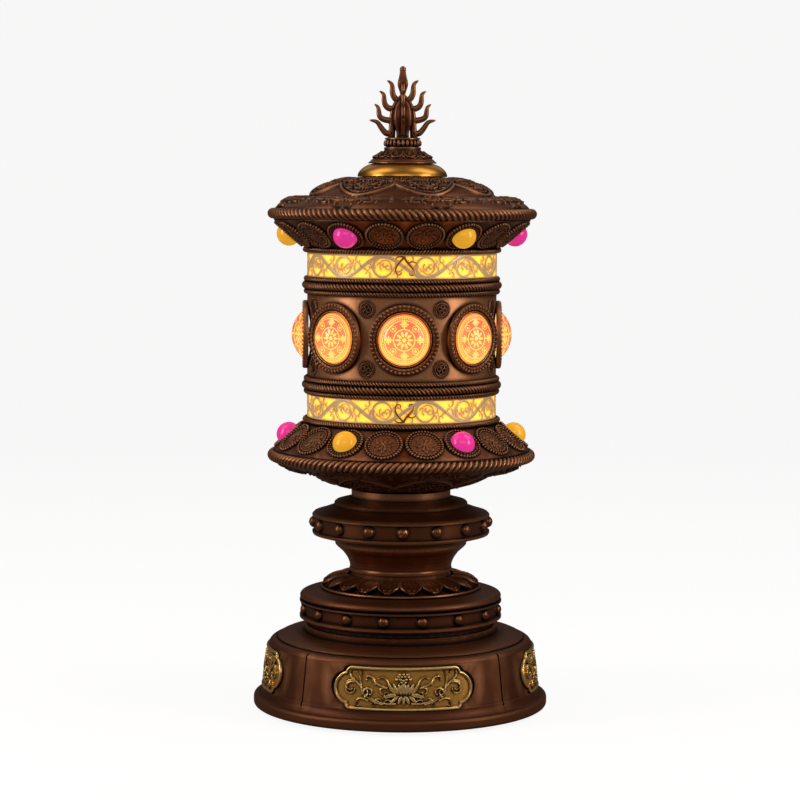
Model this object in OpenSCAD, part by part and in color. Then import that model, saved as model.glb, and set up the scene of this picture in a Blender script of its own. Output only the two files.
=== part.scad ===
// Electric tabletop prayer wheel: a lit drum that turns on a stand.
// Millimetres, +Z up, origin on the table under the centre of the feet.
// The front of the wheel faces -Y.

/* [Base] */
// Outer radius of the foot flange
base_r = 74; // [70:1:96]
// Height of the foot flange above the bottom cover's face
flange_h = 5.4; // [4:0.2:8]
// Height of the sloping wall's foot above the flange
cove_h = 4.4; // [3:0.2:7]
// Width of the cove between the flange and the wall
cove_w = 5; // [4:0.5:9]
// Height of the sloping wall
wall_h = 21; // [20:1:40]
// How far the wall leans in over its height
wall_draft = 2.8; // [0:0.2:8]
// Height of the rounded shoulder with the step above it
shoulder_h = 3.6; // [3:0.2:8]
// Width of the rounded shoulder
shoulder_w = 4.8; // [4:0.2:8]
// Wall thickness of the base shell
shell_t = 2.6; // [1.8:0.2:3.4]
// Height of the rubber feet below the shell
foot_h = 1.6; // [1:0.2:4]
// Radius of a rubber foot
foot_r = 6; // [4:0.5:8]
// Thickness of the bottom cover
cover_t = 2.4; // [2:0.2:4]
// Width of the vertical panel grooves
groove_w = 0.9; // [0.5:0.1:2]
// Depth of the vertical panel grooves
groove_d = 0.7; // [0.3:0.1:1.2]

/* [Plaques] */
// Length of a plaque across its end lobes
plaque_w = 69; // [50:1:72]
// Height of a plaque
plaque_h = 20.8; // [14:0.2:21]
// Radius of the round lobe at each end of a plaque
plaque_lobe_r = 8.1; // [5:0.1:9]
// Depth of the recess that holds a plaque
plaque_seat = 0.8; // [0.4:0.1:1.2]
// How far a plaque's border stands out of the wall
plaque_proud = 1; // [0.6:0.1:2]
// Width of a plaque's raised border
plaque_border = 1.3; // [0.8:0.1:3]

/* [Pedestal] */
// Radius of the plinth ring on top of the base
plinth_r = 48.2; // [40:0.2:54]
// Radius of the lower stud drum
lower_r = 50.7; // [42:0.2:56]
// Height of the lower stud drum
lower_h = 18.3; // [16:0.1:26]
// Radius of the upper stud disc
upper_r = 44.6; // [38:0.2:54]
// Height of the upper stud disc with its step
upper_h = 21.9; // [20:0.1:28]
// Radius at the middle of the waist
waist_r = 25.5; // [22:0.1:30]
// Height of the waist column
waist_h = 24.2; // [20:0.1:36]
// Radius of the neck collar
neck_r = 24.9; // [23:0.1:30]
// Height of the neck collar
neck_h = 4.6; // [2:0.1:8]
// Number of studs around each stud band
stud_count = 16; // [8:1:24]
// Radius of an upper stud
upper_stud_r = 2.9; // [1.5:0.1:3.2]
// Radius of a lower stud
lower_stud_r = 2.7; // [1.5:0.1:2.9]
// Number of petals around the lotus ring
petal_count = 20; // [12:1:24]
// Outer radius of the lotus ring's rim
lotus_r = 39.9; // [34:0.1:46]

/* [Drum] */
// Outer radius of the drum wall
drum_r = 47.3; // [44:0.1:60]
// Wall thickness of the drum sleeve
sleeve_t = 2.3; // [1.5:0.1:3]
// Height of the drum sleeve
sleeve_h = 58; // [56:1:90]
// Height of each pierced band
band_h = 12; // [10:1:24]
// Thickness of the pierced metal of each band
band_t = 0.7; // [0.5:0.1:1]
// Thickness of the diffuser behind each band
diffuser_t = 2.2; // [1.5:0.1:3]
// Height of each sloping canopy
canopy_h = 19.3; // [19:0.1:24]
// Width of each sloping canopy
canopy_w = 16.7; // [16:0.1:20]
// Wall thickness of the canopies, the roof and the dish
cast_t = 2.4; // [1.8:0.1:3]
// Height of the roof above the rim
roof_h = 18.2; // [16:0.1:26]
// Height of the dish below the rim
dish_h = 16; // [16:0.1:26]
// Radius of the thick rope around the rims
rim_rope_r = 2.55; // [1.5:0.05:3]
// Radius of the middle rope of each group of three
thick_rope_r = 2; // [1.2:0.1:2.2]
// Radius of the thin ropes
thin_rope_r = 1.35; // [0.8:0.05:1.4]
// Height of the gap between the drum's dish and the neck collar
turn_gap = 0.7; // [0.4:0.1:2]

/* [Ornaments] */
// Number of medallions around the drum
medallion_count = 8; // [4:1:8]
// Radius of a medallion's clear lens
lens_r = 12.5; // [9:0.1:13]
// Height of the dome of a clear lens
lens_h = 7; // [3:0.1:9]
// Width of the bezel around a lens
bezel_w = 3.6; // [2:0.1:4]
// How far a bezel stands out of the drum wall
bezel_h = 1.2; // [0.6:0.1:2]
// Radius of a small coin
coin_r = 4.5; // [3:0.1:5]
// Height of the small coins above and below the medallions' centres
coin_rise = 14.5; // [12:0.1:16]
// Number of ornaments around each canopy, a multiple of three
canopy_places = 18; // [6:6:18]
// Radius of a domed gem
gem_r = 6; // [4:0.1:6.6]
// Outer radius of a rosette or a gem's collar
rosette_r = 9.2; // [7.5:0.1:9.4]

/* [Finial] */
// Radius of the gold dome at its foot
dome_r = 22.4; // [20:0.1:24]
// Height of the gold dome
dome_h = 6.7; // [5:0.1:10]
// Radius of the finial seat at its foot
seat_r = 17; // [14:0.1:18]
// Height of the finial seat
seat_h = 12.3; // [11:0.1:18]
// Height of the flame finial
flame_h = 35.8; // [30:0.1:50]
// Thickness of the flame's fins
fin_t = 2.2; // [1.4:0.1:3]

/* [Drive] */
// Radius of the hollow spindle
spindle_r = 4; // [3:0.1:5]
// Radius of the bore for the lamp leads through the spindle
lead_bore_r = 2; // [1:0.1:2.4]
// Outer radius of the stand tube that clamps the pedestal together
tube_r = 9; // [8:0.1:10]
// Wall thickness of the stand tube
tube_t = 2; // [1.5:0.1:2.5]
// Module of the drive gears
gear_module = 1; // [0.8:0.1:1.2]
// Teeth of the drum's gear
gear_teeth = 36; // [30:2:42]
// Teeth of the motor's pinion
pinion_teeth = 16; // [14:2:20]
// Thickness of the drum's gear
gear_t = 4.5; // [3:0.1:5]
// Radius of the drive motor
motor_r = 12; // [8:0.5:12]
// Height of the drive motor
motor_h = 16.5; // [12:0.5:17]
// Radius of the motor's shaft
shaft_r = 1.5; // [1:0.1:2]
// Radius of the power button
button_r = 4; // [3:0.1:5]
// Travel of the power button
button_travel = 1.5; // [0.5:0.1:2]
// Radius of the supply socket's nose
socket_r = 4; // [3.4:0.1:5]

/* [Fits] */
// Running clearance of the spindle and the motor shaft in their bores
run_clear = 0.05; // [0.02:0.01:0.1]
// Clearance between pieces that slide or turn past each other
move_clear = 0.4; // [0.3:0.1:0.8]
// Clearance of pieces that drop into a seat
seat_clear = 0.15; // [0.05:0.05:0.3]

/* [Hidden] */
$fn = 96;
eps = 0.01;

// Heights up the stand, from the table
z_flange = foot_h + flange_h;
z_wall = z_flange + cove_h;
z_shoulder = z_wall + wall_h;
z_plate = z_shoulder + shoulder_h;
plate_rise = 3;
plinth_h = 3;
z_plinth = z_plate + plate_rise;
z_lower = z_plinth + plinth_h;
z_waist = z_lower + lower_h;
z_upper = z_waist + waist_h;
z_collar = z_upper + upper_h;
z_dish = z_collar + neck_h + turn_gap;

// Radii of the base
wall_foot_r = base_r - cove_w;
wall_top_r = wall_foot_r - wall_draft;
plate_r = wall_top_r - shoulder_w;
cavity_r = wall_foot_r - shell_t;
cover_r = cavity_r - seat_clear;
cover_top = foot_h + cover_t;
plate_under = z_plinth - shell_t;
function wall_r(z) = wall_foot_r - wall_draft * (z - z_wall) / wall_h;

// Plaques
plaque_z = z_wall + wall_h / 2 - 0.3;
plaque_body = plaque_w - 11.6;
plaque_corner = 3;

// Places on the drum, as heights above and below its middle
band_foot = sleeve_h / 2;
canopy_foot = band_foot + band_h;
rim_z = canopy_foot + canopy_h;
roof_top = rim_z + roof_h;
dish_top = rim_z + dish_h;
mid_z = z_dish + dish_top;
z_roof = mid_z + roof_top;
z_dome = z_roof + dome_h;
z_seat = z_dome + seat_h;

// Canopy slope
canopy_neck = 2.8;
rim_r = drum_r + canopy_w;
slope_in = drum_r + 1.3;
slope_z0 = canopy_foot + canopy_neck;
slope_z1 = rim_z - rim_rope_r - 0.75;
slope_a = atan2(slope_z1 - slope_z0, rim_r - slope_in);
slope_shift = cast_t / sin(slope_a);
neck_bore = drum_r - 2.7;
pad_r = rosette_r - 0.8;
pad_h = 0.4;

// Roof and dish
roof_brim_h = 8.3;
dish_brim_h = 6.8;
crown_r = 25;
crown_w = rim_r - crown_r - 15.7;
// Points of the brim as distance in from the rim, height, and the way the surface faces in degrees
brim = [[0, 0, 0], [0, 1.8, 10], [0.7, 3.1, 40], [3, 4.9, 54], [6.2, 7, 58], [7.8, 7.8, 68], [9.6, 8.2, 80],
    [11.6, 8.3, 90]];
roof_bore = 17;
dish_bore = 12;

// Ropes around the drum
rope_pitch = thin_rope_r + thick_rope_r - 0.25;
rope_z = band_foot - 4.1;
rope_out = 0.9;

// Drum interior
hub_t = 3;
hub_r = crown_r - 1;
boss_r = 2 * spindle_r;
boss_h = 4.5;
carrier_r = drum_r - 9;
carrier_t = 1.2;
carrier_h = canopy_foot - 1;
roll_r = carrier_r - 19;
roll_foot = z_dish + cast_t + hub_t + boss_h;

// Windows of the pierced bands
window_count = 24;
window_rim = 1.2;
window_w = 2 * PI * drum_r / window_count - 2;

// Medallions
disc_t = 1;
cup_t = 0.9;
disc_face = drum_r + 0.9;
lens_ball = (lens_r * lens_r + lens_h * lens_h) / (2 * lens_h);
socket_hole_r = lens_r + cup_t + seat_clear;

// Studs
upper_band_r = upper_r - 1;
lower_band_r = lower_r - 1.8;

// Stand tube, nuts and bearings
tube_in = tube_r - tube_t;
nut_r = tube_r + 4;
nut_h = 5;
web_t = 4;
flange_t = 1.2;
washer_t = 0.8;
web_top = z_collar - 6.4;
tube_top = web_top + nut_h;
tube_z = plate_under - nut_h - 1.4;
gear_top = tube_z - flange_t - move_clear;
bearing_h = 10;
hub_drop = tube_top + flange_t + washer_t + move_clear - z_dish - cast_t;
lotus_web = z_waist - 3.6;

// Drive
gear_z = gear_top - gear_t;
gear_hub_h = 5;
gear_hub_r = 2 * spindle_r;
centre_x = -gear_module * (gear_teeth + pinion_teeth) / 2;
backlash = 0.24;
bracket_t = 1.5;
bracket_top = gear_z - 1;
motor_top = bracket_top - bracket_t;
bracket_w = 2 * motor_r + 10;
pinion_hub_r = shaft_r + 1.2;
spindle_z = cover_top + 4;
spindle_top = z_dome + 3;
slip_r = spindle_r + 5;
slip_h = gear_z - gear_hub_h - cover_top - 2;
ring_t = 1.2;
ring_pitch = 2.6;

// Rear panel, socket and button; their heights run outward from rear_depth inside the wall's face
rear_turn = 10.2;
rear_depth = 10;
panel_out = 0.5;
socket_len = 10;
socket_face = rear_depth + panel_out + 0.3;
socket_back = rear_depth - shell_t - 1.2;
socket_bore = socket_r - 0.9;
button_stop = rear_depth - shell_t + 0.6;
button_face = rear_depth + panel_out + 0.9 + button_travel;
button_collar = 1.2;
button_stem = 1.8;
switch_face = button_stop - button_collar - button_stem - button_travel - 0.3;
switch_w = 10;
ear_end = rear_depth - shell_t - 1.2;

// Fasteners and feet
screw_r = 1.5;
screw_head_r = 2.8;
screw_head_h = 1.2;
boss_ring = cavity_r - 5.6;
screw_boss_r = 3.4;
screw_turn = 22;
foot_ring = cavity_r - foot_r - 4;

// Circuit board
board_x = slip_r + 7;
board_l = 28;
board_w = 38;
board_t = 1.6;
board_z = cover_top + 4;

// Points of an arc of an ellipse about c
function oval(c, rx, ry, a0, a1, n = 8) =
    [for (i = [0:n]) let(a = a0 + (a1 - a0) * i / n) c + [rx * cos(a), ry * sin(a)]];

// A quadratic curve through three control points
function bend(p, n = 6) =
    [for (i = [0:n]) let(t = i / n) (1 - t) * (1 - t) * p[0] + 2 * t * (1 - t) * p[1] + t * t * p[2]];

module turned(points) rotate_extrude() polygon(points);

module tube(r_out, r_in, h) difference() {
    cylinder(r = r_out, h = h);
    translate([0, 0, -1]) cylinder(r = r_in, h = h + 2);
}

module around(count, first = 0) for (i = [0:count - 1])
    rotate([0, 0, first + i * 360 / count]) children();

// Puts a piece's local +Z along the radius, at radius r and height z
module radial(r, z) translate([r, 0, z]) rotate([0, 90, 0]) children();

module bronze() color("#60402f") children();
module gold() color("#d9a441") children();
module steel() color("#b9bcc0") children();

// ---- Base ----

module plaque_outline(inset = 0) {
    lobe_x = plaque_w / 2 - plaque_lobe_r;
    corner = plaque_corner - inset / 2;
    for (sx = [-1, 1]) translate([sx * lobe_x, 0]) circle(plaque_lobe_r - inset);
    for (sx = [-1, 1], sy = [-1, 1])
        translate([sx * (plaque_body / 2 - inset - corner), sy * (plaque_h / 2 - inset - corner)])
            circle(corner);
    square([plaque_body - 2 * inset, plaque_h - 2 * (inset + corner)], center = true);
    square([plaque_body - 2 * (inset + corner), plaque_h - 2 * inset], center = true);
}

// A piece of the sloping wall inside a plaque's outline, from depth below to height above the wall
module plaque_slab(depth, height, inset = 0) {
    z0 = plaque_z - plaque_h / 2 - 1;
    z1 = plaque_z + plaque_h / 2 + 1;
    intersection() {
        turned([
            [wall_r(z0) - depth, z0], [wall_r(z0) + height, z0],
            [wall_r(z1) + height, z1], [wall_r(z1) - depth, z1]
        ]);
        translate([0, 0, plaque_z]) rotate([90, 0, 0])
            linear_extrude(base_r + 5) plaque_outline(inset);
    }
}

// Cut along the wall and the cove at one panel joint
module panel_groove() rotate([90, 0, 0]) linear_extrude(groove_w, center = true) polygon([
    [plate_r + 1.2, z_plate - 0.8 - groove_d], [wall_top_r - groove_d, z_shoulder],
    [wall_foot_r - groove_d, z_wall], [wall_foot_r + cove_w / 2 - groove_d, z_flange + 1 - groove_d / 2],
    [base_r + 2, z_flange - groove_d / 2], [base_r + 2, z_plate]
]);

module base_shell() bronze() difference() {
    union() {
        turned(concat(
            [[cavity_r, foot_h]],
            oval([base_r - 1.5, foot_h + 1.5], 1.5, 1.5, -90, 0, 4),
            oval([base_r - 1.5, z_flange - 1.5], 1.5, 1.5, 0, 90, 4),
            oval([base_r - 1.5, z_wall - 0.6], cove_w - 2.1, cove_h - 0.6, 270, 180),
            [[wall_foot_r + 0.6, z_wall - 0.2], [wall_foot_r, z_wall + 0.3]],
            oval([wall_top_r - shoulder_w + 0.9, z_shoulder], shoulder_w - 0.9, shoulder_h - 0.6, 0, 90),
            [[plate_r + 0.2, z_plate - 0.9], [plate_r + 0.5, z_plate - 0.3], [plate_r + 0.3, z_plate + 0.3]],
            [[plate_r - 0.4, z_plate + 0.7], [plate_r - 2, z_plate + 1.4], [plate_r - 5, z_plate + 2.2]],
            [[plate_r - 8.5, z_plate + 2.7]],
            [[plinth_r, z_plinth - 0.1], [plinth_r, z_lower - 0.8], [plinth_r - 0.8, z_lower]],
            [[tube_r + seat_clear, z_lower], [tube_r + seat_clear, plate_under]],
            [[plinth_r - shell_t, plate_under], [plate_r - shell_t, z_plate - shell_t - 0.6]],
            [[wall_top_r - shell_t - 0.3, z_shoulder - 1.2], [cavity_r, z_wall]]
        ));
        around(4, screw_turn) translate([boss_ring, 0, cover_top])
            cylinder(r = screw_boss_r, h = z_plate - shell_t - cover_top);
    }
    around(4) plaque_slab(plaque_seat, 5, -seat_clear);
    around(4, 45) panel_groove();
    around(4, screw_turn) translate([boss_ring, 0, cover_top - 1]) cylinder(r = screw_r, h = 11);
    at_rear(-rear_turn) cylinder(r = socket_r + seat_clear, h = 2 * rear_depth);
    at_rear(rear_turn) cylinder(r = button_r + move_clear, h = 2 * rear_depth);
    at_rear(rear_turn) cylinder(r = button_r + button_collar + move_clear, h = button_stop);
}

// Turns a piece to the rear panel, its local +Z pointing out through the wall
module at_rear(a) rotate([0, 0, a]) translate([0, wall_r(plaque_z) - rear_depth, plaque_z])
    rotate([-90, 0, 0]) children();

module bottom_cover() color("#3a2a22") difference() {
    translate([0, 0, foot_h]) cylinder(r = cover_r, h = cover_t);
    around(4, screw_turn) translate([boss_ring, 0, foot_h - 1]) {
        cylinder(r = screw_r + seat_clear, h = cover_t + 2);
        cylinder(r = screw_head_r + seat_clear, h = 1 + screw_head_h);
    }
}

module cover_screws() steel() around(4, screw_turn) translate([boss_ring, 0, foot_h]) difference() {
    union() {
        cylinder(r = screw_head_r, h = screw_head_h);
        cylinder(r = screw_r - run_clear, h = cover_t + 8);
    }
    translate([-2, -0.35, -1]) cube([4, 0.7, 1.6]);
    translate([-0.35, -2, -1]) cube([0.7, 4, 1.6]);
}

module rubber_feet() color("#222222") around(4, 45) translate([foot_ring, 0, 0])
    turned([[0, 0], [foot_r - 0.6, 0], [foot_r, 0.5], [foot_r, foot_h], [0, foot_h]]);

// A cast plaque with a raised border and a lotus boss, before it is turned to its side
module gold_plaque() gold() {
    difference() {
        plaque_slab(plaque_seat, plaque_proud);
        plaque_slab(-plaque_proud / 3, 5, plaque_border);
    }
    intersection() {
        plaque_slab(0, plaque_proud, plaque_border + 2);
        translate([0, 0, plaque_z - 1.5]) rotate([90, 0, 0]) union() {
            cylinder(r = 2.4, h = base_r);
            around(8) translate([3.8, 0, 0]) cylinder(r = 1.9, h = base_r);
            for (sx = [-1, 1]) translate([sx * plaque_w * 0.22, 0, 0]) tube(3.4, 2.4, base_r);
        }
    }
}

module front_plaque() gold_plaque();
module left_plaque() rotate([0, 0, -90]) gold_plaque();
module right_plaque() rotate([0, 0, 90]) gold_plaque();

module rear_panel() bronze() difference() {
    rotate([0, 0, 180]) plaque_slab(plaque_seat, panel_out);
    at_rear(-rear_turn) cylinder(r = socket_r + seat_clear, h = 2 * rear_depth);
    at_rear(rear_turn) cylinder(r = button_r + move_clear, h = 2 * rear_depth);
}

// ---- Pedestal ----

module lower_pedestal() bronze() turned(concat(
    [[plinth_r - 6, z_lower], [plinth_r - 2.2, z_lower], [plinth_r - 2.2, z_lower + 2.4]],
    [[lower_r - 0.8, z_lower + 3.2], [lower_r + 0.2, z_lower + 3.9], [lower_r + 0.2, z_lower + 5.1]],
    [[lower_band_r, z_lower + 5.7], [lower_band_r, z_lower + 11.5], [lower_r + 0.2, z_lower + 11.9]],
    [[lower_r + 0.2, z_lower + 12.7], [lower_r - 1.1, z_lower + 13.1], [lower_r - 0.4, z_lower + 13.7]],
    oval([lower_r - 3.6, z_waist - 3.6], 3.6, 2.2, -10, 80, 6),
    [[lotus_r, z_waist], [tube_r + seat_clear, z_waist], [tube_r + seat_clear, lotus_web]],
    [[plinth_r - 6, lotus_web]]
));

module half_ball(r) intersection() {
    sphere(r);
    cylinder(r = r + 1, h = r + 1);
}

module studs(band_r, z, r, first) around(stud_count, first) radial(band_r, z) half_ball(r);

module lower_studs() bronze()
    studs(lower_band_r, z_lower + 8.6, lower_stud_r, -90 + 180 / stud_count);

module upper_studs() bronze() studs(upper_band_r, z_upper + 9.05, upper_stud_r, -90);

module lotus_ring() bronze() difference() {
    union() {
        turned([
            [waist_r - 1, z_waist], [lotus_r, z_waist], [lotus_r, z_waist + 1.4],
            [lotus_r - 1, z_waist + 1.9],
            [lotus_r - 4, z_waist + 2.4], [waist_r + 3, z_waist + 7.6], [waist_r - 1, z_waist + 8.6]
        ]);
        around(petal_count, -90 + 180 / petal_count) translate([lotus_r - 7.6, 0, z_waist + 3.2])
            rotate([0, 26, 0]) cylinder(r = 4.8, h = 2.6);
    }
    translate([0, 0, z_waist - 1]) cylinder(r = waist_r - 0.6, h = waist_h);
}

module waist_column() bronze() turned([
    [waist_r - 5.5, z_waist], [waist_r - 0.7, z_waist], [waist_r - 0.7, z_waist + 9.2],
    [waist_r + 0.2, z_waist + 9.2], [waist_r + 0.3, z_waist + 10.4], [waist_r, z_waist + 11.2],
    [waist_r + 0.3, z_waist + 13], [waist_r + 1, z_waist + 14.8], [waist_r + 2.2, z_waist + 16.8],
    [waist_r + 3.7, z_waist + 18.8], [waist_r + 6.4, z_waist + 21.2], [waist_r + 7.5, z_waist + 22.4],
    [waist_r + 7.7, z_upper], [tube_r + seat_clear, z_upper], [tube_r + seat_clear, z_upper - web_t],
    [waist_r - 5.5, z_upper - web_t - 3]
]);

module upper_pedestal() bronze() turned([
    [waist_r + 3, z_upper], [waist_r + 8.4, z_upper], [waist_r + 9, z_upper + 1],
    [upper_r - 2.6, z_upper + 2.8], [upper_r - 0.4, z_upper + 3.4], [upper_r, z_upper + 4.2],
    [upper_r, z_upper + 5], [upper_band_r, z_upper + 5.4], [upper_band_r, z_upper + 12.1],
    [upper_r, z_upper + 12.5], [upper_r, z_upper + 13.3], [upper_r - 0.9, z_upper + 14.2],
    [upper_r - 2, z_upper + 14.4], [neck_r + 9.8, z_upper + 17.2], [neck_r + 8.6, z_upper + 17.8],
    [neck_r + 8.6, z_upper + 19.2], [neck_r + 7.8, z_upper + 20], [neck_r + 0.6, z_collar],
    [neck_r - 4.7, z_collar], [neck_r - 4.7, web_top], [tube_r + seat_clear, web_top],
    [tube_r + seat_clear, web_top - web_t], [waist_r + 3, web_top - web_t]
]);

module neck_collar() bronze() turned([
    [neck_r - 4.7, z_collar], [neck_r, z_collar], [neck_r, z_collar + neck_h - 0.7],
    [neck_r - 0.7, z_collar + neck_h], [neck_r - 4.7, z_collar + neck_h]
]);

module stand_tube() steel() translate([0, 0, tube_z]) tube(tube_r, tube_in, tube_top - tube_z);

module tube_nuts() steel() for (z = [plate_under - nut_h, web_top]) translate([0, 0, z]) difference() {
    cylinder(r = nut_r, h = nut_h, $fn = 6);
    translate([0, 0, -1]) cylinder(r = tube_r, h = nut_h + 2);
}

module bush() color("#b08d57") difference() {
    union() {
        cylinder(r = tube_in, h = bearing_h);
        translate([0, 0, -flange_t]) cylinder(r = tube_r, h = flange_t);
    }
    translate([0, 0, -flange_t - 1]) cylinder(r = spindle_r + run_clear, h = bearing_h + flange_t + 2);
}

module lower_bearing() translate([0, 0, tube_z]) bush();
module upper_bearing() translate([0, 0, tube_top]) mirror([0, 0, 1]) bush();
module thrust_washer() steel() translate([0, 0, tube_top + flange_t])
    tube(boss_r, spindle_r + move_clear, washer_t);

// ---- Drive ----

function involute(rb, a) = rb * [cos(a) + a * PI / 180 * sin(a), sin(a) - a * PI / 180 * cos(a)];
function spin(p, a) = [p[0] * cos(a) - p[1] * sin(a), p[0] * sin(a) + p[1] * cos(a)];

// One tooth's outline, centred on the +X axis, from root to tip and back
function tooth(teeth, steps = 4) =
    let(
        rp = gear_module * teeth / 2, rb = rp * cos(20), rt = rp + 0.85 * gear_module,
        rr = rp - 1.15 * gear_module, lean = tan(20) * 180 / PI - 20,
        half = 90 / teeth - backlash / 2 / rp * 180 / PI / 2 + lean,
        last = sqrt(rt * rt / rb / rb - 1) * 180 / PI,
        flank = [for (i = [0:steps]) spin(involute(rb, last * i / steps), -half)]
    )
    concat(
        [spin([rr, 0], -half)], rb > rr ? flank : [for (p = flank) if (norm(p) > rr) p],
        [for (i = [steps:-1:0]) let(p = flank[i]) if (norm(p) > rr) [p[0], -p[1]]],
        [spin([rr, 0], half)]
    );

module gear_blank(teeth, t) linear_extrude(t)
    polygon([for (k = [0:teeth - 1]) for (p = tooth(teeth)) spin(p, k * 360 / teeth)]);

module drive_gear() color("#e8e4da") difference() {
    translate([0, 0, gear_z]) union() {
        gear_blank(gear_teeth, gear_t);
        translate([0, 0, -gear_hub_h]) cylinder(r = gear_hub_r, h = gear_hub_h + eps);
    }
    translate([0, 0, gear_z - gear_hub_h - 1]) cylinder(r = spindle_r, h = gear_hub_h + gear_t + 2);
}

module pinion() color("#e8e4da") translate([centre_x, 0, gear_z]) difference() {
    rotate([0, 0, 180 / pinion_teeth]) gear_blank(pinion_teeth, gear_t + 0.6);
    translate([0, 0, -1]) cylinder(r = shaft_r, h = gear_t + 4);
}

module motor_shaft() steel() translate([centre_x, 0, motor_top - 4])
    cylinder(r = shaft_r, h = gear_z + gear_t + 1.2 - motor_top + 4);

module drive_motor() color("#9aa0a6") translate([centre_x, 0, 0]) difference() {
    union() {
        translate([0, 0, motor_top - motor_h]) cylinder(r = motor_r, h = motor_h);
        translate([0, 0, motor_top]) cylinder(r = pinion_hub_r, h = bracket_t);
    }
    translate([0, 0, motor_top - 4.5]) cylinder(r = shaft_r + run_clear, h = 10);
    for (sy = [-1, 1]) translate([0, sy * motor_r * 0.65, motor_top - 4]) cylinder(r = screw_r, h = 5);
}

module motor_bracket() steel() translate([centre_x, 0, 0]) difference() {
    union() {
        translate([-motor_r, -bracket_w / 2, motor_top]) cube([2 * motor_r, bracket_w, bracket_t]);
        for (sy = [-1, 1])
            translate([-motor_r, sy * (bracket_w - bracket_t) / 2 - bracket_t / 2, cover_top])
                cube([2 * motor_r, bracket_t, motor_top - cover_top + eps]);
        for (sy = [-1, 1]) translate([-motor_r, sy * (bracket_w / 2 + 2.5) - 3.5, cover_top])
            cube([2 * motor_r, 7, bracket_t]);
    }
    translate([0, 0, motor_top - 1]) cylinder(r = pinion_hub_r + seat_clear, h = bracket_t + 2);
    for (sy = [-1, 1]) translate([0, sy * motor_r * 0.65, motor_top - 1])
        cylinder(r = screw_r + seat_clear, h = bracket_t + 2);
}

module motor_screws() steel() translate([centre_x, 0, bracket_top]) for (sy = [-1, 1])
    translate([0, sy * motor_r * 0.65, 0]) {
        translate([0, 0, -bracket_t - 3.5]) cylinder(r = screw_r - run_clear, h = bracket_t + 3.5 + eps);
        cylinder(r = screw_head_r - 0.6, h = 0.5);
    }

module spindle() steel() translate([0, 0, spindle_z]) tube(spindle_r, lead_bore_r, spindle_top - spindle_z);

module contact_rings() color("#c9a227") for (i = [0:2]) translate([0, 0, spindle_z + 1 + i * ring_pitch])
    tube(spindle_r + 0.8, spindle_r, ring_t);

module slip_ring() color("#2b2d30") translate([0, 0, cover_top]) difference() {
    cylinder(r = slip_r, h = slip_h);
    translate([0, 0, 3]) cylinder(r = spindle_r + 0.8 + move_clear, h = slip_h);
}

module circuit_board() {
    color("#1f6b3a") difference() {
        translate([board_x, -board_w / 2, board_z]) cube([board_l, board_w, board_t]);
        board_corners() translate([0, 0, -1]) cylinder(r = screw_r, h = board_t + 2);
    }
    color("#2a2a2a") translate([board_x + 8, -8, board_z + board_t - eps]) cube([10, 7, 1.8]);
    color("#30507a") translate([board_x + 9, 9, board_z + board_t - eps]) cylinder(r = 3.2, h = 8);
    color("#e9e9e4") translate([board_x + 18, -15, board_z + board_t - eps]) cube([6, 9, 5]);
    color("#b9bcc0") board_corners() difference() {
        translate([0, 0, cover_top - board_z]) cylinder(r = 2.6, h = board_z - cover_top + eps);
        translate([0, 0, -3]) cylinder(r = screw_r, h = 5);
    }
}

module board_corners() for (x = [3, board_l - 3], y = [-board_w / 2 + 3, board_w / 2 - 3])
    translate([board_x + x, y, board_z]) children();

module dc_socket() color("#1b1b1d") at_rear(-rear_turn) {
    difference() {
        union() {
            cylinder(r = socket_r, h = socket_face);
            translate([-5.5, -5.5, -4]) cube([11, 11, 4 + socket_back]);
        }
        translate([0, 0, socket_face - socket_len]) cylinder(r = socket_bore, h = socket_len + 1);
    }
    translate([0, 0, socket_face - socket_len - eps]) cylinder(r = 1, h = socket_len - 1);
}

module power_switch() color("#1b1b1d") at_rear(rear_turn) {
    translate([-switch_w / 2 - 4, -4, switch_face - 8]) cube([switch_w + 8, 8, 8]);
    for (sx = [-1, 1]) translate([sx * (switch_w / 2 + 3) - 1, -4, switch_face - eps])
        cube([2, 8, ear_end - switch_face]);
}

module power_button() color("#8c6a3f") at_rear(rear_turn) translate([0, 0, button_stop - 0.3]) {
    translate([0, 0, -button_collar]) cylinder(r = button_r + button_collar - 0.3, h = button_collar);
    translate([0, 0, -eps]) cylinder(r = button_r, h = button_face - button_stop + 0.3);
    translate([0, 0, -button_collar - button_stem + 0.3]) cylinder(r = 1.6, h = button_stem);
}

// ---- Drum ----

module upper_half() translate([0, 0, mid_z]) children();
module lower_half() translate([0, 0, mid_z]) mirror([0, 0, 1]) children();
module both_halves() { upper_half() children(); lower_half() children(); }

module lower_hub() color("#8f9499") translate([0, 0, z_dish + cast_t]) difference() {
    union() {
        cylinder(r = hub_r, h = hub_t);
        cylinder(r = boss_r, h = hub_t + boss_h);
        translate([0, 0, hub_drop]) cylinder(r = boss_r, h = eps - hub_drop);
    }
    translate([0, 0, hub_drop - 1]) cylinder(r = spindle_r, h = hub_t + boss_h + 2 - hub_drop);
    around(3) translate([hub_r * 0.65, 0, -1]) cylinder(r = 4, h = hub_t + 2);
}

module upper_hub() color("#8f9499") translate([0, 0, z_roof - cast_t - hub_t]) difference() {
    union() {
        cylinder(r = hub_r, h = hub_t);
        translate([0, 0, -boss_h]) cylinder(r = boss_r, h = boss_h + eps);
    }
    translate([0, 0, -boss_h - 1]) cylinder(r = spindle_r, h = boss_h + hub_t + 2);
    around(3) translate([hub_r * 0.65, 0, -1]) cylinder(r = 4, h = hub_t + 2);
}

module hub_nut() steel() translate([0, 0, z_roof - cast_t]) difference() {
    cylinder(r = boss_r, h = 4, $fn = 6);
    translate([0, 0, -1]) cylinder(r = spindle_r, h = 6);
}

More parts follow.
